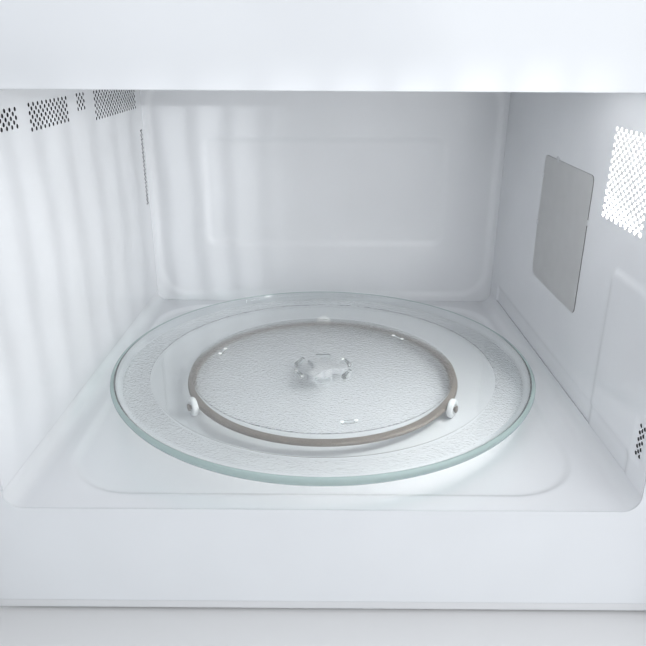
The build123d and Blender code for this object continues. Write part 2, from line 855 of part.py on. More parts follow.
def roller_plane(turn, radius):
    spoke = Vector(cos(radians(turn)), sin(radians(turn)), 0)
    origin = Vector(axis_x, axis_y, roller_z) + spoke * radius
    return Plane(origin=origin, x_dir=(0, 0, 1), z_dir=spoke)


with BuildPart() as roller_ring:
    with BuildSketch(at_z(roller_z - ring_height / 2)):
        with Locations((axis_x, axis_y)):
            Circle(ring_outer_radius)
            Circle(ring_inner_radius, mode=Mode.SUBTRACT)
    extrude(amount=ring_height)
    for turn in roller_turns.values():
        with BuildSketch(roller_plane(turn, ring_outer_radius - axle_radius)):
            Circle(axle_radius)
        extrude(amount=roller_outer_face + run_gap + axle_head - ring_outer_radius + axle_radius)
        with BuildSketch(roller_plane(turn, roller_outer_face + run_gap)):
            Circle(axle_head_radius)
        extrude(amount=axle_head)
save(roller_ring, "roller_ring")

for roller_name, turn in roller_turns.items():
    with BuildPart() as roller:
        with BuildSketch(roller_plane(turn, roller_inner_face)):
            Circle(roller_radius)
            Circle(axle_radius + pivot_clearance, mode=Mode.SUBTRACT)
        extrude(amount=roller_width)
        rim_edges = roller.edges().filter_by(GeomType.CIRCLE).sort_by(SortBy.RADIUS)[-2:]
        fillet(rim_edges, roller_width / 7)
    save(roller, roller_name)

# Lamp and cut-outs

lamp_box = 66.0
lamp_box_depth = 44.0
lamp_box_wall = 1.2
with BuildPart() as lamp_holder:
    with BuildSketch(right_wall.offset(sheet)):
        with Locations((lamp_from_front, lamp_above_floor)):
            Rectangle(lamp_box, lamp_box)
    extrude(amount=lamp_box_depth)
    with BuildSketch(right_wall.offset(sheet)):
        with Locations((lamp_from_front, lamp_above_floor)):
            Rectangle(lamp_box - 2 * lamp_box_wall, lamp_box - 2 * lamp_box_wall)
    extrude(amount=lamp_box_depth - lamp_box_wall, mode=Mode.SUBTRACT)
save(lamp_holder, "lamp_holder")

with BuildPart() as lamp_bulb:
    bulb_radius = 11.0
    bulb_base_radius = 7.0
    bulb_base = 8.0
    bulb_length = 24.0
    lamp_back = right_wall.offset(sheet + lamp_box_depth - lamp_box_wall)
    with BuildSketch(lamp_back):
        with Locations((lamp_from_front, lamp_above_floor)):
            Circle(bulb_base_radius)
    extrude(amount=-bulb_base)
    with BuildSketch(lamp_back.offset(-bulb_base)):
        with Locations((lamp_from_front, lamp_above_floor)):
            Circle(bulb_radius)
    extrude(amount=-bulb_length)
    bulb_rims = lamp_bulb.edges().filter_by(GeomType.CIRCLE).group_by(SortBy.RADIUS)[-1]
    bulb_round_share = 0.8
    fillet(bulb_rims, (bulb_radius - bulb_base_radius) * bulb_round_share)
save(lamp_bulb, "lamp_bulb")

with BuildPart() as thermal_cutouts:
    cutout_radius = 8.0
    cutout_height = 7.0
    yoke_middle = right_wall.from_local_coords(
        Vector(mica_from_front, mica_above_floor, sheet + guide_depth + yoke_depth / 2)
    )
    with BuildSketch(at_z(cavity_top + sheet)):
        with Locations((axis_x, axis_y)):
            Circle(cutout_radius)
    extrude(amount=cutout_height)
    with BuildSketch(at_z(floor_z + mica_above_floor + yoke_height / 2)):
        with Locations((yoke_middle.X, yoke_middle.Y)):
            Circle(cutout_radius)
    extrude(amount=cutout_height)
save(thermal_cutouts, "thermal_cutouts")

with BuildPart() as filter_board:
    filter_from_side = 80.0
    filter_from_top = 52.0
    filter_x = body_half - filter_from_side
    filter_z = body_top - filter_from_top
    filter_width = 80.0
    filter_height = 54.0
    standoff = 8.0
    choke_coil_radius = 10.0
    filter_back = body_depth - sheet
    with BuildSketch(at_y(filter_back - standoff)):
        with Locations((filter_x, filter_z)):
            Rectangle(filter_width, filter_height)
    extrude(amount=board_thickness)
    with BuildSketch(at_y(filter_back)):
        with Locations((filter_x, filter_z)):
            with GridLocations(filter_width - standoff, filter_height - standoff, 2, 2):
                Circle(standoff / 4)
    extrude(amount=standoff)
    with BuildSketch(at_y(filter_back - standoff - board_thickness)):
        with Locations((filter_x - filter_width / 4, filter_z)):
            Circle(choke_coil_radius)
            Circle(choke_coil_radius / 2, mode=Mode.SUBTRACT)
        with Locations((filter_x + filter_width / 5, filter_z)):
            Rectangle(2 * choke_coil_radius, choke_coil_radius)
    extrude(amount=choke_coil_radius)
save(filter_board, "filter_board")

# Latch board, switches and release lever

board_left = axis_x + cavity_half_front + 3 * sheet
board_right = door_right - fascia_gap
chamber_half = hook_thickness / 2 + hook_clearance + run_gap
lever_setback = 9.0
lever_drop = 4.5
lever_y = cavity_front + lever_setback
lever_z = hook_bottom_z - lever_drop
lever_radius = 3.0
board_depth = hook_reach + hook_clearance + overrun
board_low = lever_z - 3 * lever_radius
board_high = hook_high_z + hook_shank + hook_lift + 2 * hook_clearance

with BuildPart() as latch_board:
    chamber_top_gap = hook_lift + hook_clearance
    ledge_gap = run_gap + slide_clearance
    ledge_back_y = hook_tip_y - hook_nose_length - ledge_gap
    with BuildSketch(at_y(cavity_front)):
        with Locations(((board_left + board_right) / 2, (board_low + board_high) / 2)):
            Rectangle(board_right - board_left, board_high - board_low)
    extrude(amount=-board_depth)
    for hook_z in hook_heights:
        with BuildSketch(at_y(cavity_front)):
            with Locations((latch_x, hook_z - hook_shank / 2 - ledge_gap)):
                Rectangle(
                    2 * chamber_half,
                    hook_shank + ledge_gap + chamber_top_gap,
                    align=(Align.CENTER, Align.MIN),
                )
        extrude(amount=-(hook_reach + hook_clearance), mode=Mode.SUBTRACT)
        with BuildSketch(at_y(ledge_back_y)):
            with Locations((latch_x, hook_z)):
                Rectangle(
                    2 * chamber_half,
                    hook_shank / 2 + hook_nose + hook_clearance,
                    align=(Align.CENTER, Align.MAX),
                )
        extrude(amount=-(cavity_front + hook_reach + hook_clearance - ledge_back_y), mode=Mode.SUBTRACT)
    with BuildSketch(at_x(latch_x - chamber_half)):
        with Locations((lever_y - 2 * lever_radius, board_low)):
            Rectangle(board_depth, hook_bottom_z - board_low, align=(Align.MIN, Align.MIN))
    extrude(amount=2 * chamber_half, mode=Mode.SUBTRACT)
    with BuildSketch(at_x(board_left)):
        with Locations((lever_y, lever_z)):
            Circle(lever_radius + pivot_clearance)
    extrude(amount=board_right - board_left, mode=Mode.SUBTRACT)
save(latch_board, "latch_board")

with BuildPart() as release_lever:
    lever_arm_width = 8.0
    lifter_width = hook_thickness + hook_clearance
    lifter_reach = hook_tip_y - hook_nose_length / 2 - lever_y
    down_arm = lever_z - door_stem_z + door_button_stem
    with BuildSketch(at_x(board_left + sheet)):
        with Locations((lever_y, lever_z)):
            Circle(lever_radius)
    extrude(amount=door_stem_x + lever_arm_width / 2 - board_left - sheet)
    with BuildSketch(at_x(latch_x - lifter_width / 2)):
        with Locations((lever_y, lever_z)):
            Rectangle(lifter_reach, lever_radius, align=(Align.MIN, Align.CENTER))
        with Locations((lever_y + lifter_reach, lever_z)):
            Circle(lever_radius / 2)
    extrude(amount=lifter_width)
    with BuildSketch(at_x(door_stem_x - lever_arm_width / 2)):
        with Locations((lever_y, lever_z)):
            Rectangle(lever_radius, down_arm, align=(Align.CENTER, Align.MAX))
    extrude(amount=lever_arm_width)
save(release_lever, "release_lever")

with BuildPart() as door_switches:
    switch_width = 10.0
    switch_depth = 28.0
    switch_height = 16.0
    with BuildSketch(at_x(board_right)):
        with Locations((cavity_front + board_depth / 2, hook_middle_z)):
            with GridLocations(0, hook_step / 3, 1, 3):
                Rectangle(switch_depth, switch_height)
    extrude(amount=switch_width)
save(door_switches, "door_switches")

# Hinges

bracket_radius = 6.5
bracket_thickness = 2.5
bracket_slot_gap = 0.8
leg_thickness = 2.0
leg_from = 4.0
leg_to = 14.0
leg_height = 24.0
leg_pocket_gap = 0.6

with BuildPart() as hinge_brackets:
    for height in hinge_heights:
        with BuildSketch(at_z(height - bracket_thickness / 2)):
            with Locations((hinge_x, hinge_y)):
                Circle(bracket_radius)
                Rectangle(leg_to, cavity_front - hinge_y, align=(Align.MIN, Align.MIN))
                Circle(pin_radius, mode=Mode.SUBTRACT)
        extrude(amount=bracket_thickness)
        with BuildSketch(at_y(cavity_front)):
            with Locations((hinge_x + (leg_from + leg_to) / 2, height)):
                Rectangle(leg_to - leg_from, leg_height)
        extrude(amount=leg_thickness)
save(hinge_brackets, "hinge_brackets")

with BuildPart() as hinge_pins:
    for height in hinge_heights:
        with BuildSketch(at_z(height - pin_length / 2)):
            with Locations((hinge_x, hinge_y)):
                Circle(pin_radius)
        extrude(amount=pin_length)
save(hinge_pins, "hinge_pins")

# Door

edge_round = 3.0
window_border = 8.0
recess_total = choke_depth + sheet + screen_thickness
bar_half = 6.0
bar_depth = 5.0
bar_from_back = 5.0
bar_end = 20.0
bar_low = hook_low_z - bar_end
bar_high = hook_high_z + bar_end
hook_u = latch_x - hinge_x

with BuildPart() as door_frame:
    with BuildSketch(door_face(0)):
        with Locations((door_centre_u, door_middle_z)):
            RectangleRounded(door_width, door_height, edge_round)
        with Locations((choke_centre_u, cavity_middle_z)):
            Rectangle(
                choke_inner_width - 2 * window_border,
                choke_inner_height - 2 * window_border,
                mode=Mode.SUBTRACT,
            )
    extrude(amount=door_depth)
    with BuildSketch(door_face(0)):
        with Locations((choke_centre_u, cavity_middle_z)):
            Rectangle(choke_outer_width + 2 * seam, choke_outer_height + 2 * seam)
    extrude(amount=recess_total, mode=Mode.SUBTRACT)
    left_back = door_level(0).from_local_coords(Vector(-hinge_from_edge, hinge_from_back, 0))
    back_edges = door_frame.edges().filter_by(Axis.Z)
    nearest = back_edges.sort_by_distance(Vector(left_back.X, left_back.Y, door_middle_z))[:1]
    fillet(nearest, hinge_from_edge - seam)
    # Room for the bar that carries the hooks, and slots for the hooks
    with BuildSketch(door_face(bar_from_back - run_gap)):
        with Locations((hook_u, (bar_low + bar_high + spring_length) / 2)):
            Rectangle(2 * (bar_half + run_gap), bar_high - bar_low + spring_length + 2 * run_gap)
    extrude(amount=bar_depth + 2 * run_gap, mode=Mode.SUBTRACT)
    with BuildSketch(door_face(0)):
        with Locations((hook_u, hook_middle_z + hook_lift / 2)):
            with GridLocations(0, hook_step, 1, 2):
                Rectangle(hook_thickness + 2 * run_gap, hook_shank + 2 * hook_nose + hook_lift + 2 * run_gap)
    extrude(amount=bar_from_back, mode=Mode.SUBTRACT)
    # Pin bores, bracket slots and leg pockets at the hinges
    for height in hinge_heights:
        with BuildSketch(door_level(height - pin_length / 2 - run_gap)):
            Circle(pin_radius + pivot_clearance)
        extrude(amount=pin_length + 2 * run_gap, mode=Mode.SUBTRACT)
        slot_height = bracket_thickness + 2 * bracket_slot_gap
        slot_reach = leg_to + bracket_slot_gap
        with BuildSketch(door_level(height - slot_height / 2)):
            with Locations((-hinge_from_edge - overrun, -bracket_radius - bracket_slot_gap)):
                Rectangle(
                    hinge_from_edge + overrun + slot_reach,
                    bracket_radius + bracket_slot_gap + hinge_from_back + overrun,
                    align=(Align.MIN, Align.MIN),
                )
        extrude(amount=slot_height, mode=Mode.SUBTRACT)
        pocket_height = leg_height + 2 * bracket_slot_gap
        pocket_depth = plate_front - door_gap - cavity_front + leg_thickness + leg_pocket_gap
        with BuildSketch(door_level(height - pocket_height / 2)):
            with Locations((leg_from - 2 * bracket_slot_gap, hinge_from_back - pocket_depth)):
                Rectangle(
                    slot_reach - leg_from + 2 * bracket_slot_gap, pocket_depth, align=(Align.MIN, Align.MIN)
                )
        extrude(amount=pocket_height, mode=Mode.SUBTRACT)
save(door_frame, "door_frame")

with BuildPart() as door_glass:
    with BuildSketch(door_face(door_depth)):
        with Locations((door_centre_u, door_middle_z)):
            RectangleRounded(door_width, door_height, edge_round)
    extrude(amount=glass_thickness)
    chamfer(door_glass.faces().sort_by(SortBy.AREA)[-1].edges(), glass_thickness / 8)
save(door_glass, "door_glass")

with BuildPart() as door_choke:
    with BuildSketch(door_face(0)):
        with Locations((choke_centre_u, cavity_middle_z)):
            Rectangle(choke_outer_width, choke_outer_height)
            Rectangle(choke_inner_width, choke_inner_height, mode=Mode.SUBTRACT)
    extrude(amount=choke_depth + sheet)
    with BuildSketch(door_face(0)):
        with Locations((choke_centre_u, cavity_middle_z)):
            Rectangle(choke_outer_width - 2 * sheet, choke_outer_height - 2 * sheet)
            Rectangle(choke_inner_width + 2 * sheet, choke_inner_height + 2 * sheet, mode=Mode.SUBTRACT)
    extrude(amount=choke_depth, mode=Mode.SUBTRACT)
save(door_choke, "door_choke")

with BuildPart() as door_screen:
    with BuildSketch(door_face(choke_depth + sheet)):
        with Locations((choke_centre_u, cavity_middle_z)):
            Rectangle(choke_outer_width, choke_outer_height)
    extrude(amount=screen_thickness)
save(door_screen, "door_screen")

with BuildPart() as door_inner_film:
    with BuildSketch(door_face(choke_depth + sheet)):
        with Locations((choke_centre_u, cavity_middle_z)):
            Rectangle(choke_inner_width - 2 * seam, choke_inner_height - 2 * seam)
    extrude(amount=-film_thickness)
save(door_inner_film, "door_inner_film")

with BuildPart() as choke_cover:
    cover_thickness = 1.6
    with BuildSketch(door_face(0)):
        with Locations((choke_centre_u, cavity_middle_z)):
            Rectangle(choke_outer_width - 2 * sheet - 2 * seam, choke_outer_height - 2 * sheet - 2 * seam)
            Rectangle(
                choke_inner_width + 2 * sheet + 2 * seam,
                choke_inner_height + 2 * sheet + 2 * seam,
                mode=Mode.SUBTRACT,
            )
    extrude(amount=cover_thickness)
save(choke_cover, "choke_cover")

with BuildPart() as latch_hooks:
    with BuildSketch(door_face(bar_from_back)):
        with Locations((hook_u, (bar_low + bar_high) / 2)):
            Rectangle(2 * bar_half, bar_high - bar_low)
    extrude(amount=bar_depth)
    for hook_z in hook_heights:
        with BuildSketch(door_face(bar_from_back)):
            with Locations((hook_u, hook_z)):
                Rectangle(hook_thickness, hook_shank)
        extrude(amount=-(bar_from_back + hook_reach))
        with BuildSketch(door_face(-hook_reach)):
            with Locations((hook_u, hook_z - hook_shank / 2)):
                Rectangle(hook_thickness, hook_nose, align=(Align.CENTER, Align.MAX))
        extrude(amount=hook_nose_length)
save(latch_hooks, "latch_hooks")

with BuildPart() as latch_spring:
    spring_radius = 2.0
    wire_radius = 0.4
    with BuildSketch(door_level(bar_high)):
        with Locations((hook_u, hinge_from_back - bar_from_back - bar_depth / 2)):
            Circle(spring_radius)
            Circle(spring_radius - 2 * wire_radius, mode=Mode.SUBTRACT)
    extrude(amount=spring_length)
save(latch_spring, "latch_spring")

# Control side

with BuildPart() as control_fascia:
    post_radius = 3.0
    with BuildSketch(at_y(plate_front)):
        with Locations((fascia_x, door_middle_z)):
            RectangleRounded(fascia_width, door_height, edge_round)
    extrude(amount=plate_front - door_front)
    chamfer(control_fascia.faces().sort_by(Axis.Y)[0].edges(), glass_thickness / 8)
    with BuildSketch(at_y(plate_front)):
        with Locations((fascia_x, door_middle_z)):
            Rectangle(fascia_width - 2 * fascia_wall, door_height - 2 * fascia_wall)
    extrude(amount=plate_front - fascia_inner, mode=Mode.SUBTRACT)
    with BuildSketch(at_y(fascia_inner + seam)):
        with Locations((fascia_x, display_z)):
            Rectangle(display_width, display_height)
        with Locations((fascia_x, buttons_z)):
            with GridLocations(button_step_x, button_step_z, 2, 2):
                Rectangle(button_width, button_height)
        with Locations((fascia_x, knob_z)):
            Circle(2 * knob_stem_radius)
        with Locations((fascia_x, door_button_z)):
            Rectangle(door_button_width, door_button_height)
    extrude(amount=2 * fascia_wall, mode=Mode.SUBTRACT)
    with BuildSketch(at_y(fascia_inner)):
        with Locations((fascia_x, (display_z + knob_z) / 2)):
            with GridLocations(fascia_width - 6 * post_radius, display_z - knob_z, 2, 2):
                Circle(post_radius)
    extrude(amount=-board_setback)
save(control_fascia, "control_fascia")

with BuildPart() as display_window:
    window_flange = 2.0
    with BuildSketch(at_y(fascia_inner)):
        with Locations((fascia_x, display_z)):
            Rectangle(display_width - 2 * seam, display_height - 2 * seam)
    extrude(amount=fascia_wall)
    with BuildSketch(at_y(fascia_inner)):
        with Locations((fascia_x, display_z)):
            Rectangle(display_width + 2 * window_flange, display_height + 2 * window_flange)
    extrude(amount=-window_flange / 2)
save(display_window, "display_window")

with BuildPart() as control_board:
    tact_size = 6.0
    tact_height = 4.0
    display_block = 9.0
    with BuildSketch(at_y(board_front)):
        with Locations((fascia_x, (display_z + knob_z) / 2)):
            Rectangle(fascia_width - 4 * post_radius, display_z - knob_z + display_height)
    extrude(amount=-board_thickness)
    with BuildSketch(at_y(board_front)):
        with Locations((fascia_x, buttons_z)):
            with GridLocations(button_step_x, button_step_z, 2, 2):
                Rectangle(tact_size, tact_size)
    extrude(amount=tact_height)
    with BuildSketch(at_y(board_front)):
        with Locations((fascia_x, display_z)):
            Rectangle(display_width / 2, display_height / 2)
    extrude(amount=display_block)
save(control_board, "control_board")

with BuildPart() as knob_encoder:
    encoder_size = 14.0
    encoder_depth = 7.0
    with BuildSketch(at_y(board_front)):
        with Locations((fascia_x, knob_z)):
            Rectangle(encoder_size, encoder_size)
    extrude(amount=encoder_depth)
    with BuildSketch(at_y(board_front - encoder_depth)):
        with Locations((fascia_x, knob_z)):
            Circle(knob_stem_radius + pivot_clearance)
    extrude(amount=-(encoder_depth - sheet), mode=Mode.SUBTRACT)
save(knob_encoder, "knob_encoder")

with BuildPart() as selector_knob:
    knob_back = door_front - slide_clearance
    with BuildSketch(at_y(knob_back)):
        with Locations((fascia_x, knob_z)):
            Circle(knob_radius)
    extrude(amount=knob_depth)
    chamfer(selector_knob.faces().sort_by(Axis.Y)[0].edges(), knob_depth / 16)
    with BuildSketch(at_y(knob_back)):
        with Locations((fascia_x, knob_z)):
            Circle(knob_stem_radius)
    extrude(amount=-(board_front - encoder_depth / 3 - knob_back))
    pointer_width = 2.0
    pointer_depth = 1.0
    with BuildSketch(at_y(knob_back - knob_depth)):
        with Locations((fascia_x, knob_z + knob_radius / 2)):
            SlotOverall(knob_radius / 2, pointer_width, rotation=90)
    extrude(amount=-pointer_depth, mode=Mode.SUBTRACT)
save(selector_knob, "selector_knob")

button_names = ["clock_button", "power_button", "stop_button", "start_button"]
button_places = [(-1, 1), (1, 1), (-1, -1), (1, -1)]
for button_name, (side_x, side_z) in zip(button_names, button_places):
    button_x = fascia_x + side_x * button_step_x / 2
    button_z = buttons_z + side_z * button_step_z / 2
    with BuildPart() as button:
        button_flange = 2.0
        button_back = fascia_inner + run_gap
        stem_end = board_front - tact_height - button_travel - run_gap
        with BuildSketch(at_y(button_back)):
            with Locations((button_x, button_z)):
                Rectangle(button_width - 2 * slide_clearance, button_height - 2 * slide_clearance)
        extrude(amount=button_back - door_front + button_proud)
        fillet(button.faces().sort_by(Axis.Y)[0].edges(), button_proud / 3)
        with BuildSketch(at_y(button_back)):
            with Locations((button_x, button_z)):
                Rectangle(button_width + button_flange, button_height + button_flange)
        extrude(amount=-button_flange / 2)
        with BuildSketch(at_y(button_back)):
            with Locations((button_x, button_z)):
                Rectangle(tact_size, tact_size)
        extrude(amount=-(stem_end - button_back))
    save(button, button_name)

with BuildPart() as door_button:
    door_button_back = fascia_inner + run_gap
    shoulder_width = stem_hole + 2 * button_flange
    shoulder_end = plate_front - door_button_travel - run_gap
    with BuildSketch(at_y(door_button_back)):
        with Locations((fascia_x, door_button_z)):
            Rectangle(door_button_width - 2 * slide_clearance, door_button_height - 2 * slide_clearance)
    extrude(amount=door_button_back - door_front + door_button_proud)
    fillet(door_button.faces().sort_by(Axis.Y)[0].edges(), door_button_proud / 3)
    with BuildSketch(at_y(door_button_back)):
        with Locations((fascia_x, door_button_z)):
            Rectangle(door_button_width + button_flange, door_button_height + button_flange)
    extrude(amount=-button_flange)
    # The shoulder meets the front plate at the end of the button's travel
    with BuildSketch(at_y(door_button_back)):
        with Locations((door_stem_x, door_stem_z)):
            Rectangle(shoulder_width, shoulder_width)
    extrude(amount=-(shoulder_end - door_button_back))
    with BuildSketch(at_y(door_button_back)):
        with Locations((door_stem_x, door_stem_z)):
            Rectangle(door_button_stem, door_button_stem)
    extrude(amount=-(lever_y - lever_radius / 2 - run_gap - door_button_back))
save(door_button, "door_button")
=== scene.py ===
from math import atan2, cos, degrees, hypot, pi, radians, sin

import bmesh
import bpy
from mathutils import Euler, Matrix, Vector


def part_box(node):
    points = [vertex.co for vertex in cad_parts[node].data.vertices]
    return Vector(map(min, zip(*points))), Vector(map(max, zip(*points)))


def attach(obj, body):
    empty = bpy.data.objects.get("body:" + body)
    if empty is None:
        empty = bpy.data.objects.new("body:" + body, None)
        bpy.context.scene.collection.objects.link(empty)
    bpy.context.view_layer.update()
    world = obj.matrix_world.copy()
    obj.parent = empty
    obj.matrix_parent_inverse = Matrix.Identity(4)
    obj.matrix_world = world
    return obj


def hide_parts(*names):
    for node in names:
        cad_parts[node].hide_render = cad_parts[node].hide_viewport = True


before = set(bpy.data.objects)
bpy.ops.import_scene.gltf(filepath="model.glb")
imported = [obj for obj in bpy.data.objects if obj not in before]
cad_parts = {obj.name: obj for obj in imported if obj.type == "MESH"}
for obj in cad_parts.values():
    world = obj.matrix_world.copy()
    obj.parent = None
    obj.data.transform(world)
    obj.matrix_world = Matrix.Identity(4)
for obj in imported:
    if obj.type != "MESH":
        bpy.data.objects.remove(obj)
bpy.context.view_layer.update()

# A built-in microwave, in metres: X to the right, Y into the cabinet, Z up, as the frame has it.
mm = 0.001

# Cavity
axis_x = -76.0 * mm
axis_y = 153.7 * mm
floor_z = 75.0 * mm
roof_z = 300.0 * mm
front_y = -3.0 * mm
back_y = 341.0 * mm
half_front = 179.7 * mm
half_back = 171.0 * mm
sheet = 0.8 * mm
corner = 10.0 * mm
wall_low = corner + sheet
lean = (half_front - half_back) / (back_y - front_y)

# Turntable
tray_under = 87.2 * mm
tray_top = 91.5 * mm
lip_top = 95.5 * mm
tray_radius = 157.5 * mm
disc_radius = 99.5 * mm
band_radius = 129.6 * mm
roller_z = 80.1 * mm
roller_circle = 105.3 * mm
roller_turns = {"roller_rear": 90.0, "roller_left": 210.0, "roller_right": 330.0}


# Finishes

def finish(name, colour, roughness, metallic=0.0, alpha=None, **sockets):
    made = bpy.data.materials.new(name)
    made.use_nodes = True
    shader = made.node_tree.nodes["Principled BSDF"]
    shader.inputs["Base Color"].default_value = (*colour, 1.0)
    shader.inputs["Roughness"].default_value = roughness
    shader.inputs["Metallic"].default_value = metallic
    for socket, value in sockets.items():
        shader.inputs[socket.replace("_", " ")].default_value = value
    return made


def shader_of(made):
    return made.node_tree.nodes["Principled BSDF"]


def object_place(made, stretch=(1.0, 1.0, 1.0)):
    tree = made.node_tree
    coordinates = tree.nodes.new("ShaderNodeTexCoord")
    mapping = tree.nodes.new("ShaderNodeMapping")
    mapping.inputs["Scale"].default_value = stretch
    tree.links.new(coordinates.outputs["Object"], mapping.inputs["Vector"])
    return mapping.outputs["Vector"]


def noise(made, size, detail=2.0, stretch=(1.0, 1.0, 1.0)):
    node = made.node_tree.nodes.new("ShaderNodeTexNoise")
    node.inputs["Scale"].default_value = 1.0 / size
    node.inputs["Detail"].default_value = detail
    made.node_tree.links.new(object_place(made, stretch), node.inputs["Vector"])
    return node.outputs["Fac"]


def cells(made, size, feature="F1", stretch=(1.0, 1.0, 1.0)):
    node = made.node_tree.nodes.new("ShaderNodeTexVoronoi")
    node.feature = feature
    node.inputs["Scale"].default_value = 1.0 / size
    made.node_tree.links.new(object_place(made, stretch), node.inputs["Vector"])
    return node.outputs["Distance"]


def spangle(made, size):
    node = made.node_tree.nodes.new("ShaderNodeTexVoronoi")
    node.inputs["Scale"].default_value = 1.0 / size
    made.node_tree.links.new(object_place(made), node.inputs["Vector"])
    grey = made.node_tree.nodes.new("ShaderNodeSeparateColor")
    made.node_tree.links.new(node.outputs["Color"], grey.inputs["Color"])
    return grey.outputs["Red"]


# Most of a noise texture's values lie between these
noise_low = 0.3
noise_high = 0.7


def colour_between(made, value, first, second, low=noise_low, high=noise_high):
    ramp = made.node_tree.nodes.new("ShaderNodeValToRGB")
    ramp.color_ramp.elements[0].position = low
    ramp.color_ramp.elements[0].color = (*first, 1.0)
    ramp.color_ramp.elements[1].position = high
    ramp.color_ramp.elements[1].color = (*second, 1.0)
    made.node_tree.links.new(value, ramp.inputs["Fac"])
    made.node_tree.links.new(ramp.outputs["Color"], shader_of(made).inputs["Base Color"])


def roughness_between(made, value, low, high):
    spread = made.node_tree.nodes.new("ShaderNodeMapRange")
    spread.inputs["From Min"].default_value = noise_low
    spread.inputs["From Max"].default_value = noise_high
    spread.inputs["To Min"].default_value = low
    spread.inputs["To Max"].default_value = high
    made.node_tree.links.new(value, spread.inputs["Value"])
    made.node_tree.links.new(spread.outputs["Result"], shader_of(made).inputs["Roughness"])


def relief(made, *heights, edge=0.0):
    """Adds bumps, each a texture value and a depth in metres, over an edge softened by its radius."""
    tree = made.node_tree
    normal = None
    if edge:
        rounded = tree.nodes.new("ShaderNodeBevel")
        rounded.samples = 4
        rounded.inputs["Radius"].default_value = edge
        normal = rounded.outputs["Normal"]
    for value, depth in heights:
        bump = tree.nodes.new("ShaderNodeBump")
        bump.inputs["Strength"].default_value = 1.0
        bump.inputs["Distance"].default_value = depth
        tree.links.new(value, bump.inputs["Height"])
        if normal:
            tree.links.new(normal, bump.inputs["Normal"])
        normal = bump.outputs["Normal"]
    tree.links.new(normal, shader_of(made).inputs["Normal"])


def shaded(colour, share):
    return tuple(part * share for part in colour)


def moulded(name, colour, roughness, grain=0.9 * mm, depth=0.02 * mm, edge=0.5 * mm, **sockets):
    """Injection moulded plastic: a fine grain, a slight mottle and softened edges."""
    mottle = 35 * mm
    gloss_patch = 12 * mm
    dark_share, pale_share = 0.985, 1.01
    made = finish(name, colour, roughness, **sockets)
    colour_between(made, noise(made, mottle), shaded(colour, dark_share), shaded(colour, pale_share))
    roughness_between(made, noise(made, gloss_patch), roughness * 0.85, roughness * 1.2)
    relief(made, (noise(made, grain, 3.0), depth), edge=edge)
    return made


def pressed_steel(name, colour, roughness, grain=8 * mm, edge=0.4 * mm):
    """Zinc coated sheet: large crystals that differ in tone and gloss."""
    rolled_grain = 3 * mm
    rolled_depth = 0.01 * mm
    dark_share, pale_share = 0.94, 1.04
    made = finish(name, colour, roughness, metallic=1.0)
    crystals = spangle(made, grain)
    colour_between(made, crystals, shaded(colour, dark_share), shaded(colour, pale_share), 0.1, 0.9)
    roughness_between(made, crystals, roughness * 0.9, roughness * 1.12)
    relief(made, (noise(made, rolled_grain, 4.0), rolled_depth), edge=edge)
    return made


def brushed(name, colour, roughness, stretch, edge=0.4 * mm):
    """Metal brushed or turned along one direction."""
    line_width = 0.5 * mm
    line_depth = 0.01 * mm
    dark_share, pale_share = 0.85, 1.1
    made = finish(name, colour, roughness, metallic=1.0)
    lines = noise(made, line_width, 4.0, stretch)
    colour_between(made, lines, shaded(colour, dark_share), shaded(colour, pale_share))
    roughness_between(made, lines, roughness * 0.8, roughness * 1.3)
    relief(made, (lines, line_depth), edge=edge)
    return made


def enamel(name, colour, roughness, wave=0.5 * mm):
    """Baked enamel on pressed sheet: orange peel over slow waves in the sheet."""
    cloud = 90 * mm
    gloss_patch = 25 * mm
    wave_length = 60 * mm
    peel_size = 5 * mm
    peel_depth = 0.03 * mm
    edge = 0.8 * mm
    dark_share, pale_share = 0.97, 1.02
    made = finish(name, colour, roughness, Coat_Weight=0.5, Coat_Roughness=0.12)
    colour_between(made, noise(made, cloud), shaded(colour, dark_share), shaded(colour, pale_share))
    roughness_between(made, noise(made, gloss_patch), roughness * 0.9, roughness * 1.15)
    slow = noise(made, wave_length, 0.0, (1.0, 1.0, 0.35))
    peel = noise(made, peel_size, 1.0)
    relief(made, (slow, wave), (peel, peel_depth), edge=edge)
    return made


def clear(name, colour, roughness, shadow, depth=None, size=2.2 * mm):
    """Clear glass, with a stippled face where a depth is given. Light passes it as through thin glass."""
    fine_share = 0.6
    wave_length = 45 * mm
    wave_depth = 0.1 * mm
    made = finish(name, colour, roughness, Transmission_Weight=1.0, IOR=1.5)
    tree = made.node_tree
    if depth:
        fine = (noise(made, size * fine_share), depth * fine_share)
        relief(made, (cells(made, size, "SMOOTH_F1"), depth), fine)
    else:
        relief(made, (noise(made, wave_length), wave_depth))
    light_path = tree.nodes.new("ShaderNodeLightPath")
    passing = tree.nodes.new("ShaderNodeBsdfTransparent")
    passing.inputs["Color"].default_value = (*shadow, 1.0)
    mix = tree.nodes.new("ShaderNodeMixShader")
    output = tree.nodes["Material Output"]
    tree.links.new(light_path.outputs["Is Shadow Ray"], mix.inputs["Fac"])
    tree.links.new(shader_of(made).outputs["BSDF"], mix.inputs[1])
    tree.links.new(passing.outputs["BSDF"], mix.inputs[2])
    tree.links.new(mix.outputs["Shader"], output.inputs["Surface"])
    return made


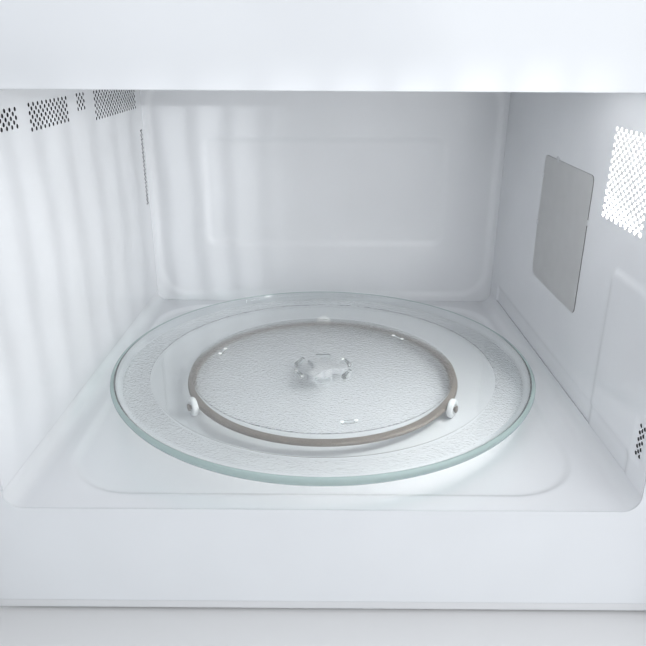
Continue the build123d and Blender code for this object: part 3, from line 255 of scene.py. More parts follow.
cavity_enamel = enamel("cavity_enamel", (0.752, 0.767, 0.790), 0.205, 0.35 * mm)
plate_enamel = enamel("plate_enamel", (0.735, 0.755, 0.775), 0.20, 0.1 * mm)
trim_paint = enamel("trim_paint", (0.70, 0.71, 0.72), 0.36, 0.05 * mm)
galvanised = pressed_steel("galvanised", (0.60, 0.61, 0.62), 0.38)
screw_steel = brushed("screw_steel", (0.66, 0.67, 0.68), 0.25, (1.0, 0.2, 1.0))
motor_steel = pressed_steel("motor_steel", (0.50, 0.50, 0.51), 0.35, 5 * mm)
spring_steel = brushed("spring_steel", (0.45, 0.45, 0.47), 0.3, (1.0, 1.0, 0.1))
knob_metal = brushed("knob_metal", (0.62, 0.63, 0.64), 0.3, (1.0, 0.1, 1.0))
rubber = moulded("rubber", (0.025, 0.025, 0.026), 0.75, 1.5 * mm, 0.05 * mm)
ring_plastic = moulded("ring_plastic", (0.225, 0.195, 0.172), 0.45, edge=0.6 * mm)
white_plastic = moulded("white_plastic", (0.80, 0.81, 0.82), 0.40, edge=0.4 * mm)
panel_plastic = moulded("panel_plastic", (0.74, 0.75, 0.765), 0.22, 6 * mm, 0.02 * mm, Coat_Weight=0.4)
coupler_plastic = moulded("coupler_plastic", (0.58, 0.59, 0.61), 0.45, edge=0.4 * mm)
grey_plastic = moulded("grey_plastic", (0.27, 0.285, 0.30), 0.5, 0.7 * mm, 0.04 * mm)
black_plastic = moulded("black_plastic", (0.022, 0.022, 0.024), 0.42, 0.7 * mm, 0.03 * mm)
board_green = moulded("board_green", (0.018, 0.12, 0.05), 0.35, 0.5 * mm, 0.02 * mm, edge=0.2 * mm)
display_lens = moulded("display_lens", (0.012, 0.014, 0.016), 0.08, 40 * mm, 0.02 * mm, Coat_Weight=1.0)
choke_steel = enamel("choke_steel", (0.23, 0.25, 0.27), 0.4, 0.1 * mm)
mica = moulded("mica", (0.51, 0.515, 0.515), 0.42, 2.5 * mm, 0.02 * mm, edge=0.1 * mm)
# Near black for the cut edges of holes: painted shade, so the holes read dark.
hole_painted_shade = moulded("hole_painted_shade", (0.03, 0.031, 0.033), 0.5, 0.5 * mm, 0.01 * mm, edge=0.1 * mm)
# Dark for the mica's cut edges: painted shade, a thin dark outline round the sheet.
mica_edge_painted_shade = moulded("mica_edge_painted_shade", (0.13, 0.125, 0.12), 0.6, 1.0 * mm, 0.02 * mm, edge=0.1 * mm)

core_iron = finish("core_iron", (0.055, 0.055, 0.058), 0.45, metallic=0.6)
laminations = noise(core_iron, 0.5 * mm, 1.0, (0.02, 1.0, 0.02))
colour_between(core_iron, laminations, (0.035, 0.035, 0.037), (0.11, 0.105, 0.10))
relief(core_iron, (laminations, 0.15 * mm), edge=0.4 * mm)

copper = finish("copper", (0.42, 0.15, 0.055), 0.30, metallic=0.9)
turns = noise(copper, 0.7 * mm, 0.0, (0.03, 0.03, 1.0))
colour_between(copper, turns, (0.22, 0.07, 0.025), (0.55, 0.21, 0.08))
relief(copper, (turns, 0.4 * mm))

tray_clear = clear("tray_clear", (0.97, 0.99, 0.988), 0.02, (0.96, 0.975, 0.975))
tray_stipple = clear("tray_stipple", (0.97, 0.985, 0.985), 0.20, (0.89, 0.915, 0.92), 0.13 * mm, 1.5 * mm)

# The rim is green and partly opaque from outside, and clear from within the glass
rim_green = (0.46, 0.58, 0.565)
rim_within = (0.97, 0.985, 0.98)
rim_passes = 0.25
tray_rim = clear("tray_rim", rim_green, 0.10, (0.80, 0.88, 0.87))
behind = tray_rim.node_tree.nodes.new("ShaderNodeNewGeometry")
colour_between(tray_rim, behind.outputs["Backfacing"], rim_green, rim_within, 0.0, 1.0)
passes = tray_rim.node_tree.nodes.new("ShaderNodeMapRange")
passes.inputs["To Min"].default_value = rim_passes
tray_rim.node_tree.links.new(behind.outputs["Backfacing"], passes.inputs["Value"])
tray_rim.node_tree.links.new(passes.outputs["Result"], shader_of(tray_rim).inputs["Transmission Weight"])

# The lug bumps glow a little: painted glints, white spots standing in for highlights on them.
lug_painted_glint = finish("lug_painted_glint", (0.93, 0.96, 0.96), 0.08,
                   Emission_Color=(1.0, 1.0, 1.0, 1.0), Emission_Strength=0.35)
colour_between(lug_painted_glint, noise(lug_painted_glint, 2 * mm), (0.86, 0.90, 0.91), (0.97, 0.98, 0.98))
door_pane = clear("door_pane", (0.86, 0.89, 0.90), 0.02, (0.80, 0.84, 0.86))
film_clear = clear("film_clear", (0.93, 0.95, 0.96), 0.06, (0.90, 0.92, 0.94))
lamp_glass = finish("lamp_glass", (0.95, 0.93, 0.88), 0.2,
                    Emission_Color=(1.0, 0.97, 0.92, 1.0), Emission_Strength=4.0)
colour_between(lamp_glass, noise(lamp_glass, 4 * mm), (0.92, 0.90, 0.84), (0.98, 0.96, 0.92))
relief(lamp_glass, (noise(lamp_glass, 2 * mm), 0.05 * mm))

# Finishes of the CAD nodes that stay as they are
node_finishes = {
    galvanised: ("base_plate", "outer_wrapper", "back_plate", "waveguide", "magnetron_body",
                 "capacitor_clamp", "hinge_brackets", "capacitor"),
    cavity_enamel: ("cavity_roof",),
    plate_enamel: ("front_plate",),
    trim_paint: ("trim_frame",),
    screw_steel: ("case_screws", "hinge_pins", "magnetron_antenna", "thermal_cutouts"),
    rubber: ("feet", "cable_gland"),
    white_plastic: ("latch_board", "fan_shroud"),
    coupler_plastic: ("drive_coupler",),
    panel_plastic: ("control_fascia", "door_frame", "door_button", "clock_button", "power_button",
                    "stop_button", "start_button"),
    knob_metal: ("selector_knob",),
    display_lens: ("display_window",),
    door_pane: ("door_glass",),
    choke_steel: ("door_choke",),
    film_clear: ("door_inner_film",),
    grey_plastic: ("choke_cover", "latch_hooks", "release_lever"),
    black_plastic: ("door_switches", "knob_encoder", "hv_diode", "fan_blade"),
    board_green: ("control_board", "filter_board"),
    core_iron: ("transformer_core",),
    copper: ("transformer_coils",),
    motor_steel: ("turntable_motor", "fan_motor"),
    lamp_glass: ("lamp_bulb",),
    spring_steel: ("latch_spring",),
}
for material, nodes in node_finishes.items():
    for node in nodes:
        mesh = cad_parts[node].data
        mesh.materials.clear()
        mesh.materials.append(material)


# Shapes

def piece(name, bm, materials, body, nodes=(), sharp=35.0):
    """Makes a bmesh an object that rides a body and stands for the given nodes."""
    mesh = bpy.data.meshes.new(name)
    bm.to_mesh(mesh)
    bm.free()
    for material in materials:
        mesh.materials.append(material)
    for polygon in mesh.polygons:
        polygon.use_smooth = True
    mesh.set_sharp_from_angle(angle=radians(sharp))
    made = bpy.data.objects.new(name, mesh)
    bpy.context.scene.collection.objects.link(made)
    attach(made, body)
    if nodes:
        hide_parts(*nodes)
    return made


def ease(t):
    t = min(1.0, max(0.0, t))
    return t * t * (3.0 - 2.0 * t)


def outside(x, y, half_x, half_y, radius):
    """Distance from a rounded rectangle about the origin, negative inside it."""
    dx = abs(x) - half_x + radius
    dy = abs(y) - half_y + radius
    return min(max(dx, dy), 0.0) + hypot(max(dx, 0.0), max(dy, 0.0)) - radius


def pressed(distance, slope):
    """Share of the full depth of a pressing, from 0 at its border to 1 inside it."""
    return ease(-distance / slope)


def grid(columns, rows, place):
    """A grid of quads, each corner put where place(across, up) says, with both running from 0 to 1."""
    bm = bmesh.new()
    bmesh.ops.create_grid(bm, x_segments=columns, y_segments=rows, size=0.5)
    for vert in bm.verts:
        vert.co = place(vert.co.x + 0.5, vert.co.y + 0.5)
    return bm


def perforate(bm, inside, holes, radius, sides, matrix_at):
    """Cuts round holes: faces inside go, and flat faces fill between the field's border and the holes."""
    gone = [face for face in bm.faces if inside(face.calc_center_median())]
    around = {edge for face in gone for edge in face.edges}
    bmesh.ops.delete(bm, geom=gone, context="FACES_KEEP_BOUNDARY")
    border = [edge for edge in around if edge.is_valid and len(edge.link_faces) == 1]
    for hole in holes:
        ring = bmesh.ops.create_circle(bm, segments=sides, radius=radius, matrix=matrix_at(hole))
        border += list({edge for vert in ring["verts"] for edge in vert.link_edges})
    bmesh.ops.triangle_fill(bm, use_beauty=True, use_dissolve=False, edges=border)


def thicken(bm, thickness):
    bmesh.ops.recalc_face_normals(bm, faces=bm.faces[:])
    bmesh.ops.solidify(bm, geom=bm.faces[:], thickness=thickness)
    bmesh.ops.recalc_face_normals(bm, faces=bm.faces[:])


def paint_shade_in_holes(bm, low_y, high_y, low_z, high_z):
    """Gives the cut edges of a side wall's holes the second material, a near-black painted shade so the holes
    read dark, between the given places.
    """
    for face in bm.faces:
        at = face.calc_center_median()
        if abs(face.normal.x) < 0.5 and low_y < at.y < high_y and low_z < at.z < high_z:
            face.material_index = 1


def lattice(length, height, along, up):
    """Places of a staggered field of holes about its middle."""
    columns = max(2, int(length / along))
    rows = max(2, int(height / up))
    places = []
    for shift in (0, 1):
        for column in range(columns - shift):
            for row in range(rows - shift):
                first_column, first_row = (columns - 1 - shift) / 2, (rows - 1 - shift) / 2
                places.append(((column - first_column) * along, (row - first_row) * up))
    return places


# Cavity floor with its recess and rolled side corners

recess_depth = 2.0 * mm
recess_slope = 6.0 * mm
recess_half = 160.0 * mm
recess_middle_y = front_y + 171.0 * mm
recess_half_y = 159.0 * mm
recess_radius = 47.0 * mm
coupler_hole = 7.0 * mm
floor_grid = (228, 210)


def from_axis(face):
    """Distance of a face's middle from the turntable's axis."""
    at = face.calc_center_median()
    return hypot(at.x - axis_x, at.y - axis_y)


def floor_at(across, along):
    y = front_y + along * (back_y - front_y)
    half = half_front - lean * (y - front_y)
    side = 1.0 if across >= 0.5 else -1.0
    straight = half - corner
    roll = corner * pi / 2
    run = abs(across - 0.5) * 2 * (straight + roll + sheet)
    x, z = min(run, straight), floor_z
    if run > straight:
        turn = min((run - straight) / corner, pi / 2)
        x = straight + corner * sin(turn)
        z = floor_z + corner * (1 - cos(turn)) + max(run - straight - roll, 0.0)
    dip = pressed(outside(x, y - recess_middle_y, recess_half, recess_half_y, recess_radius), recess_slope)
    return Vector((axis_x + side * x, y, z - recess_depth * dip))


bm = grid(*floor_grid, floor_at)
middle = [face for face in bm.faces if from_axis(face) < coupler_hole]
bmesh.ops.delete(bm, geom=middle, context="FACES")
thicken(bm, -sheet)
piece("floor_pan", bm, [cavity_enamel], "housing", ["cavity_floor"])

# Side walls

hole_along = 6.5 * mm
hole_up = 4.75 * mm
vent_hole = 1.3 * mm
vent_sides = 10
wall_cells = (172, 108)
wall_height = roof_z - floor_z


def wall_at(side, from_front, height, outward=0.0):
    y = front_y + from_front
    return Vector((axis_x + side * (half_front - lean * from_front + outward), y, floor_z + height))


def wall_grid(side, columns, rows, shape):
    def place(across, up):
        from_front = across * (back_y - front_y)
        height = wall_low + up * (wall_height - wall_low)
        return wall_at(side, from_front, height, shape(from_front, height))
    return grid(columns, rows, place)


def vent(bm, side, middle, low, length, height, radius, sides, holes):
    """A field of holes in a side wall, from its middle along the wall and its lowest edge."""
    centre = Vector((middle, low + height / 2))
    margin = 2.2 * mm

    def inside(point):
        along = point.y - front_y - centre.x
        up = point.z - floor_z - centre.y
        return abs(along) < length / 2 + margin and abs(up) < height / 2 + margin

    def matrix_at(hole):
        at = wall_at(side, centre.x + hole[0], centre.y + hole[1])
        return Matrix.Translation(at) @ Matrix.Rotation(side * lean, 4, "Z") @ Matrix.Rotation(pi / 2, 4, "Y")

    perforate(bm, inside, holes, radius, sides, matrix_at)


# Middle from the front, length and lowest edge of each vent of the left wall, in millimetres
left_vents = ((61.0, 60.0, 195.0), (135.0, 66.0, 192.0), (191.0, 20.0, 198.0), (272.0, 116.0, 188.0))
vent_top = 214.0 * mm
vent_lowest = 184.0 * mm
fine_low = 100.0 * mm
fine_height = 72.0 * mm
fine_length = 8.0 * mm
fine_from_back = 9.0 * mm
fine_hole = 1.1 * mm
fine_sides = 8
fine_pitch = 4.0 * mm

bm = wall_grid(-1, *wall_cells, lambda from_front, height: 0.0)
for middle, length, low in left_vents:
    low = low * mm
    length = length * mm
    height = vent_top - low
    holes = lattice(length, height, hole_along, hole_up)
    vent(bm, -1, middle * mm, low, length, height, vent_hole, vent_sides, holes)
holes = lattice(fine_length, fine_height, fine_pitch, fine_pitch)
fine_middle = back_y - front_y - fine_from_back
vent(bm, -1, fine_middle, fine_low, fine_length, fine_height, fine_hole, fine_sides, holes)
thicken(bm, sheet)
# The holes' cut edges take the near-black painted shade.
paint_shade_in_holes(bm, front_y + 5 * mm, back_y - 1 * mm, floor_z + 50 * mm, roof_z - 5 * mm)
piece("left_wall_sheet", bm, [cavity_enamel, hole_painted_shade], "housing", ["cavity_left_wall"])

duct_length = 318.0 * mm
duct_height = 40.0 * mm
duct_depth = 9.0 * mm
duct_wall = 1.0 * mm
box_gap = 0.1 * mm


def wall_box(bm, at, turn, outwards, size):
    """A box of the given size that stands out from a wall by its whole depth."""
    middle = Matrix.Translation((outwards * size[0] / 2, 0.0, 0.0))
    place = Matrix.Translation(at) @ Matrix.Rotation(turn, 4, "Z") @ middle @ Matrix.Diagonal((*size, 1.0))
    bmesh.ops.create_cube(bm, size=1.0, matrix=place)


# An air duct behind the left wall's vents, black so the holes read dark: painted shade.
duct_at = wall_at(-1, (back_y - front_y) / 2, (vent_top + vent_lowest) / 2, sheet + box_gap)
bm = bmesh.new()
wall_box(bm, duct_at, -lean, -1, (duct_depth, duct_length, duct_height))
bmesh.ops.delete(bm, geom=[face for face in bm.faces if face.normal.x > 0.9], context="FACES")
bmesh.ops.solidify(bm, geom=bm.faces[:], thickness=duct_wall)
piece("vent_duct_painted_shade", bm, [black_plastic], "housing", ["cavity_left_wall"])

lamp_middle = 82.0 * mm
lamp_patch = 60.0 * mm
lamp_height = 172.0 * mm
lamp_hole = 1.55 * mm
lamp_sides = 12
low_vent_middle = 13.0 * mm
low_vent_low = 26.0 * mm
low_vent_length = 11.0 * mm
low_vent_height = 24.0 * mm
low_vent_hole = 1.2 * mm
low_vent_pitch = 4.4 * mm
crease = 4.0 * mm
field_rise = 0.7 * mm
shoulder_rise = 0.9 * mm


def right_wall_shape(from_front, height):
    """A shallow pressed field in front of the mica, over a long low shoulder that climbs from the floor."""
    field = pressed(outside(from_front - 36 * mm, height - 58 * mm, 46 * mm, 62 * mm, 8 * mm), crease)
    shoulder = pressed(outside(from_front - 170 * mm, height, 150 * mm, 27 * mm, 6 * mm), crease)
    return -field_rise * field + shoulder_rise * shoulder


bm = wall_grid(1, *wall_cells, right_wall_shape)
holes = lattice(lamp_patch, lamp_patch, hole_along, hole_up)
vent(bm, 1, lamp_middle, lamp_height - lamp_patch / 2, lamp_patch, lamp_patch, lamp_hole, lamp_sides, holes)
holes = lattice(low_vent_length, low_vent_height, low_vent_pitch, low_vent_pitch)
vent(bm, 1, low_vent_middle, low_vent_low, low_vent_length, low_vent_height, low_vent_hole, vent_sides, holes)
thicken(bm, -sheet)
# The holes' cut edges take the near-black painted shade.
paint_shade_in_holes(bm, front_y + 2 * mm, front_y + 30 * mm, floor_z + 20 * mm, floor_z + 60 * mm)
piece("right_wall_sheet", bm, [cavity_enamel, hole_painted_shade], "housing", ["cavity_right_wall"])

# Back wall with two pressings, one inside the other

frame_depth = 1.6 * mm
panel_depth = 1.8 * mm
panel_middle = 111.0 * mm
press_slope = 7 * mm
back_grid = (172, 112)


def back_at(across, up):
    x = (across - 0.5) * 2 * (half_back + sheet)
    height = up * wall_height
    frame_edge = outside(x, height - wall_height / 2, 168 * mm, wall_height / 2 - 4 * mm, 30 * mm)
    panel_edge = outside(x, height - panel_middle, 119 * mm, 54 * mm, 12 * mm)
    depth = frame_depth * pressed(frame_edge, press_slope) + panel_depth * pressed(panel_edge, press_slope)
    return Vector((axis_x + x, back_y + depth, floor_z + height))


bm = grid(*back_grid, back_at)
thicken(bm, sheet)
piece("back_wall_sheet", bm, [cavity_enamel], "housing", ["cavity_back_wall"])

# Lamp box, white inside, its inner faces glowing as painted light from the bulb

lamp_box = 66.0 * mm
lamp_box_depth = 44.0 * mm
lamp_box_wall = 1.2 * mm
lamp_in = wall_at(1, lamp_middle, lamp_height, sheet + box_gap)
bm = bmesh.new()
wall_box(bm, lamp_in, lean, 1, (lamp_box_depth, lamp_box, lamp_box))
bmesh.ops.delete(bm, geom=[face for face in bm.faces if face.normal.x < -0.9], context="FACES")
bmesh.ops.solidify(bm, geom=bm.faces[:], thickness=lamp_box_wall)
# Inner faces take the second finish, which glows: painted light from the bulb.
for face in bm.faces:
    inner = face.calc_center_median() - (lamp_in + Vector((lamp_box_depth / 2, 0.0, 0.0)))
    if face.normal.dot(inner) < 0.0 and face.normal.x > -0.9 or face.normal.x < -0.9 and inner.x > 0.0:
        face.material_index = 1
lamp_box_painted_glow = finish("lamp_box_painted_glow", (0.90, 0.89, 0.87), 0.5,
                    Emission_Color=(1.0, 0.985, 0.96, 1.0), Emission_Strength=0.78)
colour_between(lamp_box_painted_glow, noise(lamp_box_painted_glow, 20 * mm), (0.86, 0.85, 0.83), (0.93, 0.92, 0.90))
piece("lamp_box", bm, [galvanised, lamp_box_painted_glow], "housing", ["lamp_holder"])

# Glass tray

def spun(profile, steps, centre=(axis_x, axis_y), closed=False):
    """A shape turned about an upright axis from a profile of radius and height."""
    bm = bmesh.new()
    verts = [bm.verts.new((centre[0] + radius, centre[1], height)) for radius, height in profile]
    edges = [bm.edges.new(pair) for pair in zip(verts, verts[1:])]
    if closed:
        edges.append(bm.edges.new((verts[-1], verts[0])))
    bmesh.ops.spin(bm, geom=verts + edges, cent=(*centre, 0.0), axis=(0, 0, 1), angle=2 * pi, steps=steps,
                   use_merge=True)
    bmesh.ops.remove_doubles(bm, verts=bm.verts[:], dist=0.001 * mm)
    bmesh.ops.recalc_face_normals(bm, faces=bm.faces[:])
    return bm


lip_round = 1.9 * mm
lip_middle = (tray_radius - lip_round, lip_top - lip_round)
inner_bend = 10.0 * mm
outer_bend = 8.0 * mm
groove = 0.12 * mm


def arc(centre, radius, start, end, steps):
    """Points of an arc in a profile of radius and height, from one angle to another in degrees."""
    turns = [radians(start + (end - start) * step / steps) for step in range(steps + 1)]
    return [(centre[0] + radius * cos(turn), centre[1] + radius * sin(turn)) for turn in turns]


def bend_middle(radius, height, reach):
    """Middle of a bend that meets the lip's round smoothly, and the angle where they meet."""
    rise = height - lip_middle[1]
    run = (reach * reach - rise * rise) ** 0.5
    return lip_middle[0] - run, degrees(atan2(rise, run))


inner_x, inner_angle = bend_middle(inner_bend, tray_top + inner_bend, inner_bend + lip_round)
outer_x, outer_angle = bend_middle(outer_bend, tray_under + outer_bend, outer_bend - lip_round)
disc_step = 0.2 * mm
step_run = 2.4 * mm
groove_half = 0.4 * mm
groove_margin = 1.2 * mm
bend_lead = 0.8 * mm
tray_steps = 192
tray_profile = [(0.0, tray_top), (band_radius - groove_margin, tray_top)]
tray_profile += [(band_radius - groove_half, tray_top)]
tray_profile += [(band_radius, tray_top - groove), (band_radius + groove_half, tray_top)]
tray_profile += [(band_radius + groove_margin, tray_top), (inner_x - bend_lead, tray_top)]
tray_profile += arc((inner_x, tray_top + inner_bend), inner_bend, -90, -inner_angle, 8)
tray_profile += arc(lip_middle, lip_round, 180 - inner_angle, -outer_angle, 14)[1:]
tray_profile += arc((outer_x, tray_under + outer_bend), outer_bend, -outer_angle, -90, 9)[1:]
tray_profile += [(outer_x - bend_lead, tray_under), (band_radius, tray_under)]
tray_profile += [(disc_radius + step_run, tray_under)]
step_points = 8
for point in range(step_points + 1):
    share = point / step_points
    tray_profile.append((disc_radius + step_run * (0.5 - share), tray_under - disc_step * ease(share)))
tray_profile += [(disc_radius - step_run, tray_under - disc_step), (0.0, tray_under - disc_step)]
bm = spun(tray_profile, tray_steps)
for face in bm.faces:
    at = face.calc_center_median()
    radius = from_axis(face)
    on_cap = radius > lip_middle[0] - 0.4 * lip_round and at.z > lip_middle[1]
    if on_cap or radius > outer_x and face.normal.z < 0.55:
        face.material_index = 2
    elif at.z < tray_under + 0.4 * mm and (radius < disc_radius or radius > band_radius):
        face.material_index = 1
piece("turntable_glass", bm, [tray_clear, tray_stipple, tray_rim], "tray", ["glass_tray"], 20.0)


def round_axis(radius, turn, height):
    """A place at a radius and an angle about the turntable's axis."""
    return Vector((axis_x + radius * cos(turn), axis_y + radius * sin(turn), height))


def bar_block(size, place, round_off):
    """A rounded block of the given size, put in place by a matrix."""
    bm = bmesh.new()
    bmesh.ops.create_cube(bm, size=1.0, matrix=place @ Matrix.Diagonal((*size, 1.0)))
    bmesh.ops.bevel(bm, geom=bm.edges[:], offset=round_off, segments=3, profile=0.5, affect="EDGES",
                    material=-1)
    return bm


def joined(parts):
    whole = bmesh.new()
    for part in parts:
        mesh = bpy.data.meshes.new("part")
        part.to_mesh(mesh)
        part.free()
        whole.from_mesh(mesh)
        bpy.data.meshes.remove(mesh)
    return whole


lug_circle = 85.0 * mm
lug_size = (2.6 * mm, 11.0 * mm, 2.2 * mm)
lug_bump = 1.5 * mm
lug_rise = 1.2 * mm
lug_first_turn = 42.0
lug_gap = 0.02 * mm
lug_edge = 0.9 * mm
bump_from_end = 0.6 * mm
bump_flat = Matrix.Diagonal((1.0, 1.0, 0.6, 1.0))
socket_circle = 21.0 * mm
socket_size = (3.4 * mm, 12.0 * mm, 4.8 * mm)
socket_edge = 1.2 * mm
socket_first_turn = 30.0
socket_middle = 2.5 * mm
parts = []
bumps = []
for step in range(3):
    turn = radians(lug_first_turn + 120.0 * step)
    across = Vector((-sin(turn), cos(turn), 0.0))
    spot = round_axis(lug_circle, turn, tray_under - lug_size[2] / 2 - lug_gap)
    parts.append(bar_block(lug_size, Matrix.Translation(spot) @ Matrix.Rotation(turn, 4, "Z"), lug_edge))
    for side in (-1.0, 1.0):
        bump = bmesh.new()
        at = spot + across * side * (lug_size[1] / 2 - bump_from_end) + Vector((0.0, 0.0, lug_rise))
        place = Matrix.Translation(at) @ bump_flat
        bmesh.ops.create_uvsphere(bump, u_segments=20, v_segments=12, radius=lug_bump, matrix=place)
        bumps.append(bump)
for step in range(6):
    turn = radians(60.0 * step + socket_first_turn)
    spot = round_axis(socket_circle, turn, tray_under - socket_middle)
    place = Matrix.Translation(spot) @ Matrix.Rotation(turn, 4, "Z")
    parts.append(bar_block(socket_size, place, socket_edge))
piece("tray_lugs", joined(parts), [tray_clear], "tray", ["glass_tray"])
# Bumps with the glowing finish: painted glints.
piece("tray_lug_bumps_painted_glint", joined(bumps), [lug_painted_glint], "tray", ["glass_tray"])

# Roller ring and rollers

ring_inner = 96.5 * mm
ring_outer = 102.9 * mm
ring_half_height = 1.5 * mm
ring_round = 1.35 * mm
ring_z = roller_z + 0.5 * mm
ring_steps = 160
ring_profile = []
for corner_x, corner_z, start in ((1, 1, 0), (-1, 1, 90), (-1, -1, 180), (1, -1, 270)):
    middle_x = (ring_inner + ring_outer) / 2 + corner_x * ((ring_outer - ring_inner) / 2 - ring_round)
    middle_z = ring_z + corner_z * (ring_half_height - ring_round)
    ring_profile += arc((middle_x, middle_z), ring_round, start, start + 90, 5)
parts = [spun(ring_profile, ring_steps, closed=True)]


rod_edge = 0.3 * mm


def rod(radius, start, end, spoke, height=roller_z, segments=24):
    """A round bar along a spoke of the ring, between two radii."""
    bm = bmesh.new()
    direction = Vector((cos(spoke), sin(spoke), 0.0))
    middle = Vector((axis_x, axis_y, height)) + direction * (start + end) / 2
    turn = direction.to_track_quat("Z", "Y").to_matrix().to_4x4()
    bmesh.ops.create_cone(bm, cap_ends=True, segments=segments, radius1=radius, radius2=radius,
                          depth=end - start, matrix=Matrix.Translation(middle) @ turn)
    rims = [edge for edge in bm.edges if edge.calc_face_angle(0.0) > 1.0]
    bmesh.ops.bevel(bm, geom=rims, offset=rod_edge, segments=2, profile=0.5, affect="EDGES", material=-1)
    return bm


pin_radius = 1.5 * mm
pin_sink = 1.5 * mm
pin_end = 108.4 * mm
cap_radius = 2.6 * mm
cap_start = 107.7 * mm
cap_end = 109.0 * mm
for turn in roller_turns.values():
    parts.append(rod(pin_radius, ring_outer - pin_sink, pin_end, radians(turn)))
    parts.append(rod(cap_radius, cap_start, cap_end, radians(turn)))
piece("ring_body", joined(parts), [ring_plastic], "ring", ["roller_ring"])

# Radius and place along the axle, in millimetres
wheel_profile = ((1.58, -2.1), (5.2, -2.1), (6.0, -2.0), (6.55, -1.55), (6.78, -0.9), (6.8, 0.0), (6.78, 0.9),
                 (6.55, 1.6), (6.0, 2.0), (5.2, 2.1), (4.0, 2.1), (3.6, 1.9), (3.4, 1.3), (1.58, 1.3))
wheel_bodies = {"roller_rear": "rear_wheel", "roller_left": "left_wheel", "roller_right": "right_wheel"}
wheel_steps = 48
for name, turn in roller_turns.items():
    bm = bmesh.new()
    verts = [bm.verts.new((radius * mm, 0.0, along * mm)) for radius, along in wheel_profile]
    edges = [bm.edges.new(pair) for pair in zip(verts, verts[1:] + verts[:1])]
    bmesh.ops.spin(bm, geom=verts + edges, cent=(0, 0, 0), axis=(0, 0, 1), angle=2 * pi, steps=wheel_steps,
                   use_merge=True)
    spoke = Vector((cos(radians(turn)), sin(radians(turn)), 0.0))
    at = Vector((axis_x, axis_y, roller_z)) + spoke * roller_circle
    facing = spoke.to_track_quat("Z", "Y").to_matrix().to_4x4()
    bmesh.ops.transform(bm, verts=bm.verts[:], matrix=Matrix.Translation(at) @ facing)
    bmesh.ops.recalc_face_normals(bm, faces=bm.faces[:])
    piece(name.replace("roller", "wheel"), bm, [white_plastic], wheel_bodies[name], [name])

# Mica cover of the waveguide, with its clips

mica_low, mica_high = 69.5 * mm, 166.0 * mm
mica_front, mica_rear = 129.2 * mm, 226.3 * mm
mica_lift = 0.1 * mm
mica_thick = 0.4 * mm
mica_round = 4.0 * mm
mica_cut_along = 6 * mm
mica_cut_up = 7 * mm
mica_corners = (
    (mica_front, mica_low), (mica_rear - mica_cut_along, mica_low), (mica_rear, mica_low + mica_cut_up),
    (mica_rear, mica_high), (mica_front, mica_high),
)
bm = bmesh.new()
verts = [bm.verts.new(wall_at(1, along, up, -mica_lift)) for along, up in mica_corners]
bm.faces.new(verts)
bmesh.ops.bevel(bm, geom=bm.verts[:], offset=mica_round, segments=5, profile=0.5, affect="VERTICES",
                material=-1)
grown = bmesh.ops.extrude_face_region(bm, geom=bm.faces[:])
moved = [g for g in grown["geom"] if isinstance(g, bmesh.types.BMVert)]
bmesh.ops.translate(bm, verts=moved, vec=(-mica_thick, 0, 0))
bmesh.ops.recalc_face_normals(bm, faces=bm.faces[:])
# The sheet's edges take the dark painted shade, outlining the mica.
for face in bm.faces:
    if abs(face.normal.x) < 0.5:
        face.material_index = 1
piece("mica_sheet", bm, [mica, mica_edge_painted_shade], "housing", ["waveguide_cover"])

clip_size = (0.5 * mm, 4.0 * mm, 4.0 * mm)
clip_edge = 0.2 * mm
clip_lift = 0.25 * mm
clip_places = (
    (mica_rear, 150 * mm), (mica_rear, 112 * mm), (mica_front, 135 * mm), (mica_front + 70 * mm, mica_high),
)
parts = []
for along, up in clip_places:
    spot = wall_at(1, along, up, -clip_lift)
    parts.append(bar_block(clip_size, Matrix.Translation(spot), clip_edge))
piece("mica_clips", joined(parts), [cavity_enamel], "housing", ["waveguide_cover"])

# Door screen with its field of holes

hinge_x = -289.0 * mm
hinge_y = -12.3 * mm
hinge_from_back = 8.0 * mm
door_angle = radians(100.0)
choke_depth = 12.8 * mm
screen_width = 387.4 * mm
screen_height = 253.0 * mm
screen_thick = 0.5 * mm
field_width = 343.0 * mm
field_height = 209.0 * mm
screen_pitch = 3.2 * mm
screen_hole = 1.15 * mm
door_x = Vector((cos(door_angle), -sin(door_angle), 0.0))
door_out = Vector((-sin(door_angle), -cos(door_angle), 0.0))


def door_place(along, height, depth):
    """Matrix of a plane of the open door: X along it from the hinge, Y up and Z outwards."""
    origin = Vector((hinge_x, hinge_y, height)) + door_out * (depth - hinge_from_back) + door_x * along
    return Matrix.Translation(origin) @ Matrix((door_x, (0.0, 0.0, 1.0), door_out)).transposed().to_4x4()


def repeated(bm, move, doublings):
    """Copies everything along a step, two, four, eight times over."""
    for doubling in range(doublings):
        copy = bmesh.ops.duplicate(bm, geom=bm.verts[:] + bm.edges[:] + bm.faces[:])
        verts = [item for item in copy["geom"] if isinstance(item, bmesh.types.BMVert)]
        bmesh.ops.translate(bm, verts=verts, vec=Vector(move) * 2 ** doubling)


def trimmed(bm, half_x, half_y):
    for axis, half in (((1.0, 0.0, 0.0), half_x), ((0.0, 1.0, 0.0), half_y)):
        for side in (1.0, -1.0):
            normal = Vector(axis) * side
            bmesh.ops.bisect_plane(bm, geom=bm.verts[:] + bm.edges[:] + bm.faces[:], plane_co=normal * half,
                                   plane_no=normal, clear_outer=True)


